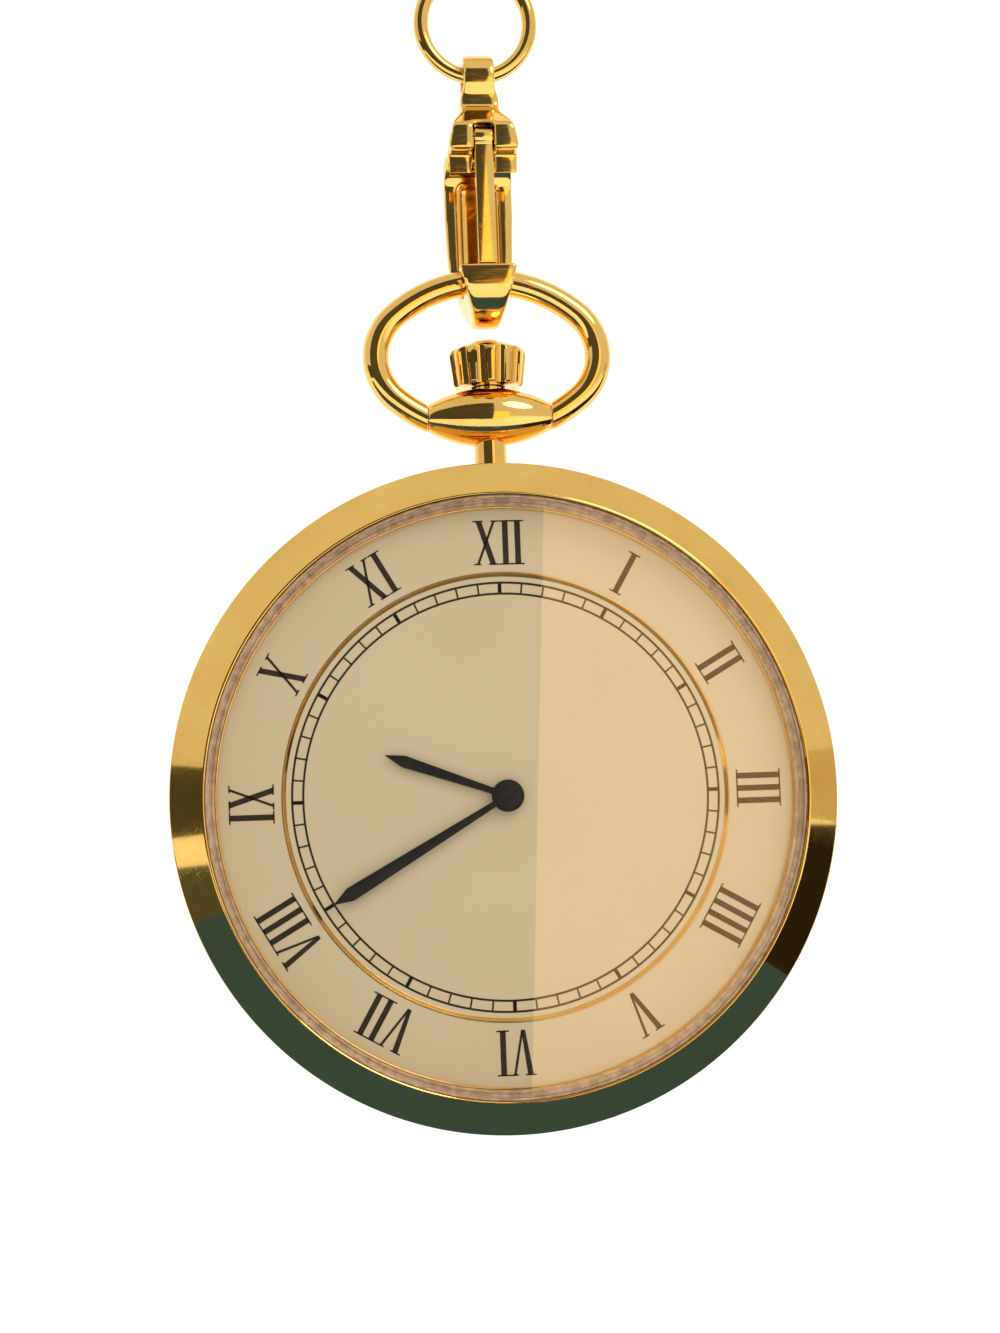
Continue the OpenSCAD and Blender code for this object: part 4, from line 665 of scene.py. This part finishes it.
def smooth_copy(node, width, segments=2):
    """A merged copy of a CAD node, with its flat faces whole and its edges softly rounded."""
    mesh = nodes[node].data.copy()
    mesh.name = node + "_finished"
    shape = bmesh.new()
    shape.from_mesh(mesh)
    bmesh.ops.remove_doubles(shape, verts=shape.verts, dist=1e-6)
    bmesh.ops.dissolve_limit(shape, angle_limit=math.radians(1), verts=shape.verts, edges=shape.edges)
    shape.to_mesh(mesh)
    shape.free()
    piece = bpy.data.objects.new(node + "_finished", mesh)
    scene.collection.objects.link(piece)
    for face in mesh.polygons:
        face.use_smooth = True
    edge = piece.modifiers.new("edge", "BEVEL")
    edge.width, edge.segments = width * mm, segments
    edge.limit_method, edge.angle_limit = "ANGLE", math.radians(30)
    edge.harden_normals = True
    return piece


def made_plain(piece):
    """Applies a piece's modifiers."""
    bpy.context.view_layer.update()
    mesh = bpy.data.meshes.new_from_object(piece.evaluated_get(bpy.context.evaluated_depsgraph_get()))
    piece.modifiers.clear()
    piece.data = mesh
    return piece


for node in ("hour_hand", "minute_hand"):
    fit(made_plain(smooth_copy(node, 0.03)), node, lacquer)
cap = turned("hand_cap", [
    (0.29, 3.2), (1.1, 3.2), (1.0, 3.27), (0.42, 3.33), (0.34, 3.39), (0, 3.39), (0, 3.355),
    (0.29, 3.355)], 0.02)
cap.data.materials.append(lacquer)
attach(cap, "minute_arbor")

# Gasket: a ring of amber nylon with an L section and a fine groove in its face, pressed between bezel
# and glass, which shows as a mottled brown band round the dial.
nylon, shader, add, join = new_material("amber_nylon")
shader.inputs["Roughness"].default_value = 0.35
shader.inputs["Subsurface Weight"].default_value = 0.15
shader.inputs["Subsurface Radius"].default_value = (0.0004, 0.0002, 0.0001)
grit = noise(add, join, object_place(add), 1500, 4)
tint(add, join, shader, grit, (0.46, 0.29, 0.17), (0.66, 0.47, 0.30), 0.38, 0.62)
relief(add, join, shader, grit, 0.08, 0.00001)
fit(turned("glass_gasket", [
    (22.36, 3.0), (22.36, 4.4), (22.21, 4.4), (22.21, 3.5), (21.98, 3.5), (21.94, 3.42), (21.90, 3.42),
    (21.86, 3.5), (21.67, 3.5), (21.67, 3.0)], 0.03),
    "crystal_gasket", nylon)

# Glass: a flat disc of mineral glass, ground and polished with a chamfered edge, and pressed into the
# gasket. Light that falls on the dial passes it freely.
clear, shader, add, join = new_material("clear_glass")
shader.inputs["Base Color"].default_value = (1, 1, 1, 1)
shader.inputs["Roughness"].default_value = 0.0
shader.inputs["IOR"].default_value = 1.5
shader.inputs["Transmission Weight"].default_value = 1
ray, through, choice = add("LightPath"), add("BsdfTransparent"), add("MixShader")
either = add("Math", operation="MAXIMUM")
join(ray.outputs["Is Shadow Ray"], either.inputs[0])
join(ray.outputs["Is Diffuse Ray"], either.inputs[1])
join(either.outputs[0], choice.inputs["Fac"])
join(shader.outputs[0], choice.inputs[1])
join(through.outputs[0], choice.inputs[2])
join(choice.outputs[0], surface_of(shader))
fit(turned("flat_glass", [(0, 3.5), (22.2, 3.5), (22.2, 4.5), (22.05, 4.65), (0, 4.65)], 0.03),
    "crystal", clear)

# Pendant and stem tube: a barrel turned about the bow's axis, drilled for the tube that is screwed
# into the band, both gold-plated.
pendant_low, pendant_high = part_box("pendant")
pendant_mid = (pendant_low + pendant_high) / 2
pendant_half, full_r, end_r = 4.75, 2.275, 1.0
round_r = (pendant_half ** 2 + (full_r - end_r) ** 2) / (2 * (full_r - end_r))
side = [(math.sqrt(round_r ** 2 - x ** 2) - (round_r - full_r), x)
        for x in [pendant_half * (k / 16 - 1) for k in range(33)]]
left_end = eased([(0, -pendant_half), side[0], side[1]], 0.12, False)
right_end = eased([side[-2], side[-1], (0, pendant_half)], 0.12, False)
barrel = left_end[:-1] + side[1:-1] + right_end[1:]
fit(lathe("pendant_barrel", barrel, pendant_mid, (1, 0, 0), (0, 0, 1), 128),
    "pendant", case_gold)
pendant_z = (pendant_mid.z - dial_z) / mm
tube_bore_r, tube_r, tube_top_r = 0.62, 1.225, 1.0
tube_low, tube_step, tube_high = 22.2, pendant_z - 1.525, pendant_z + 3.905
tube = [(tube_bore_r, tube_low), (tube_r, tube_low), (tube_r, tube_step), (tube_top_r, tube_step),
        (tube_top_r, tube_high), (tube_bore_r, tube_high)]
fit(lathe("neck_tube", eased(tube, 0.05), place(0, 0, 0), (0, 0, 1), (1, 0, 0), 96),
    "stem_tube", case_gold)

# Crown: a button turned and milled with twelve flutes round its side, domed on top, gold-plated. It
# is screwed on the stem and covers the tube.
crown_low, crown_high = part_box("crown")
base_z, top_z = (crown_low.z - dial_z) / mm, (crown_high.z - dial_z) / mm
bore_r, base_r, most_r, cap_r = 1.3, 2.55, 2.92, 2.1
flutes, flute_r, flute_depth, flute_soft = 12, 0.5, 0.34, 0.05
shoulder_z = top_z - 1.1
flare = (most_r - base_r - 0.1) / (shoulder_z - base_z)
crown_side = eased([
    (bore_r, base_z), (base_r, base_z), (base_r + 0.1, base_z + 0.15), (most_r, shoulder_z),
    (most_r - 0.12, shoulder_z + 0.35), (cap_r + 0.2, shoulder_z + 0.62), (cap_r, top_z - 0.4),
    (cap_r * 0.7, top_z - 0.12), (0, top_z)], 0.14, False)
dense = [Vector((bore_r, base_z + 2.0))]
for a, b in zip(crown_side, crown_side[1:]):
    parts = max(1, round((b - a).length / 0.12))
    dense += [a.lerp(b, k / parts) for k in range(parts)]
dense.append(crown_side[-1])
steps = flutes * 32
points, rings = [], []
for r, z in dense:
    if r < 1e-6:
        rings.append([len(points)])
        points.append(place(0, z, 0))
        continue
    rings.append(list(range(len(points), len(points) + steps)))
    centre_r = base_r + 0.1 + flute_r - flute_depth + flare * (z - base_z)
    for k in range(steps):
        a = 2 * math.pi * k / steps
        off = ((a / (2 * math.pi) * flutes) % 1 - 0.5) * 2 * math.pi / flutes
        sway = flute_r ** 2 - (centre_r * math.sin(off)) ** 2
        cut = centre_r * math.cos(off) - math.sqrt(sway) if sway > 0 else 9
        share = min(1.0, max(0.0, 0.5 + 0.5 * (cut - r) / flute_soft))
        near = cut * (1 - share) + r * share - flute_soft * share * (1 - share)
        points.append(Vector((near * math.cos(a) * mm, near * math.sin(a) * mm, dial_z + z * mm)))
faces = []
for ring, other in zip(rings, rings[1:]):
    for k in range(steps):
        n = (k + 1) % steps
        corners = [ring[k], ring[n], other[n % len(other)], other[k % len(other)]]
        faces.append(tuple(dict.fromkeys(corners)))
faces.append(tuple(rings[0]))
crown = mesh_object("fluted_crown", points, faces)
smoothed(crown, 50)
fit(crown, "crown", case_gold)


# Bow and chain ring: round brass wire bent to shape, polished and gold-plated. The bow's cut ends
# hold the pendant between them on two pins, and the ring closes on itself.
def wire_tree():
    """Geometry nodes: round wire along a curve."""
    tree = bpy.data.node_groups.new("round_wire", "GeometryNodeTree")
    tree.interface.new_socket("Geometry", in_out="INPUT", socket_type="NodeSocketGeometry")
    for name, kind in (("Wire radius", "Float"), ("Sides", "Int"), ("Material", "Material")):
        tree.interface.new_socket(name, in_out="INPUT", socket_type="NodeSocket" + kind)
    tree.interface.new_socket("Geometry", in_out="OUTPUT", socket_type="NodeSocketGeometry")
    add, join = lambda kind: tree.nodes.new(kind), tree.links.new
    inputs, output = add("NodeGroupInput"), add("NodeGroupOutput")
    section, wire = add("GeometryNodeCurvePrimitiveCircle"), add("GeometryNodeCurveToMesh")
    join(inputs.outputs["Sides"], section.inputs["Resolution"])
    join(inputs.outputs["Wire radius"], section.inputs["Radius"])
    join(inputs.outputs["Geometry"], wire.inputs["Curve"])
    join(section.outputs[0], wire.inputs["Profile Curve"])
    wire.inputs["Fill Caps"].default_value = True
    real, painted = add("GeometryNodeRealizeInstances"), add("GeometryNodeSetMaterial")
    join(wire.outputs[0], real.inputs[0])
    join(real.outputs[0], painted.inputs["Geometry"])
    join(inputs.outputs["Material"], painted.inputs["Material"])
    join(painted.outputs[0], output.inputs[0])
    return tree


def wire_along(name, path, closed, radius, material):
    """Round wire along a path of points, as a plain mesh."""
    line = bpy.data.curves.new(name + "_path", "CURVE")
    line.dimensions = "3D"
    spline = line.splines.new("POLY")
    spline.points.add(len(path) - 1)
    for knot, spot in zip(spline.points, path):
        knot.co = (*spot, 1)
    spline.use_cyclic_u = closed
    base = bpy.data.objects.new(name + "_path", line)
    scene.collection.objects.link(base)
    return grown(name, base, wire_shape, {"Wire radius": radius * mm, "Sides": 40, "Material": material})


wire_shape = wire_tree()
bow_z = pendant_z + 4.71
bow_wire_r, bow_end, end_path_x = 1.0, 4.8, 4.0
half_w, half_h, side_r = 8.53, 5.8, 4.2
arm = half_w - side_r
top_r = (arm ** 2 + half_h ** 2 - side_r ** 2) / (2 * (half_h - side_r))
drop = top_r - half_h
bend = math.atan2(drop, arm)
low_end = math.acos(end_path_x / top_r)
path = []
for cx, cz, r, start, stop, count in (
        (0, drop, top_r, -low_end, -bend, 24),
        (arm, 0, side_r, -bend, bend, 48),
        (0, -drop, top_r, bend, math.pi - bend, 72),
        (-arm, 0, side_r, math.pi - bend, math.pi + bend, 48),
        (0, drop, top_r, math.pi + bend, math.pi + low_end, 24)):
    arc = [start + (stop - start) * k / count for k in range(count + 1)]
    path += [place(cx + r * math.cos(a), bow_z + cz + r * math.sin(a), 0)
             for a in (arc if not path else arc[1:])]
bow = wire_along("bow_wire", path, False, bow_wire_r, case_gold)

# The bow's ends are sawn off square, just clear of the pendant's flat faces.
shape = bmesh.new()
shape.from_mesh(bow.data)
end_x, low_z = bow_end * mm, dial_z + (pendant_z + 3) * mm
for sign in (1, -1):
    near_end = [v for v in shape.verts if v.co.z < low_z]
    near_end += [part for part in [*shape.edges, *shape.faces]
                 if (sum((v.co for v in part.verts), Vector()) / len(part.verts)).z < low_z]
    bmesh.ops.bisect_plane(shape, geom=near_end, plane_co=(sign * end_x, 0, 0), plane_no=(sign, 0, 0))
    waste = [v for v in shape.verts if v.co.z < low_z and 0 <= v.co.x * sign < end_x - 0.0001 * mm]
    bmesh.ops.delete(shape, geom=waste, context="VERTS")
    rim = [e for e in shape.edges
           if e.is_boundary and all(abs(v.co.x * sign - end_x) < 1e-6 for v in e.verts)]
    bmesh.ops.edgeloop_fill(shape, edges=rim)
bmesh.ops.recalc_face_normals(shape, faces=shape.faces)
shape.to_mesh(bow.data)
shape.free()
smoothed(bow, 50)
fit(bow, "bow", case_gold)
pin_r, pin_in, pin_out = 0.5, 3.55, 5.2
pin_side = eased([(0, pin_in), (pin_r, pin_in), (pin_r, pin_out), (0, pin_out)], 0.06)
for sign, name in ((1, "bow_pin_right"), (-1, "bow_pin_left")):
    pin = lathe(name, pin_side, pendant_mid, (sign, 0, 0), (0, 0, 1), 48)
    pin.data.materials.append(case_gold)
    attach(pin, "bow")

ring_r, ring_wire_r, ring_steps = 4.2, 0.575, 160
path = []
for k in range(ring_steps):
    a = 2 * math.pi * k / ring_steps
    path.append(Vector((ring_r * mm * math.cos(a), 0, ring_r * mm * math.sin(a))))
ring = wire_along("chain_link", path, True, ring_wire_r, case_gold)
smoothed(ring, 50)
fit(ring, "chain_ring", case_gold)


# Snap hook: a solid brass body, cast with a channel for its gate, the gate and the gate's pin. The
# body is tumbled and buffed until its edges flow together, then plated. The pin is riveted flush.
def buffed_copy(node, grain, passes):
    """A closed skin round a copy of a CAD node, with its edges rubbed down evenly."""
    piece = bpy.data.objects.new("buffed_" + node, nodes[node].data.copy())
    scene.collection.objects.link(piece)
    shape = bmesh.new()
    shape.from_mesh(piece.data)
    bmesh.ops.remove_doubles(shape, verts=shape.verts, dist=0.001 * mm)
    shape.to_mesh(piece.data)
    shape.free()
    skin = piece.modifiers.new("skin", "REMESH")
    skin.mode, skin.voxel_size, skin.use_smooth_shade = "VOXEL", grain * mm, True
    rub = piece.modifiers.new("rub", "SMOOTH")
    rub.factor, rub.iterations = 0.5, passes
    return made_plain(piece)


hook_gold = gold("worn_gold", (0.95, 0.63, 0.18), (0.86, 0.52, 0.13), 0.07, 0.24, 0.12)
fit(buffed_copy("hook_body", 0.12, 30), "hook_body", hook_gold)
fit(made_plain(smooth_copy("hook_gate", 0.3, segments=4)), "hook_gate", hook_gold)
fit(made_plain(smooth_copy("hook_pin", 0.05)), "hook_pin", gilt)
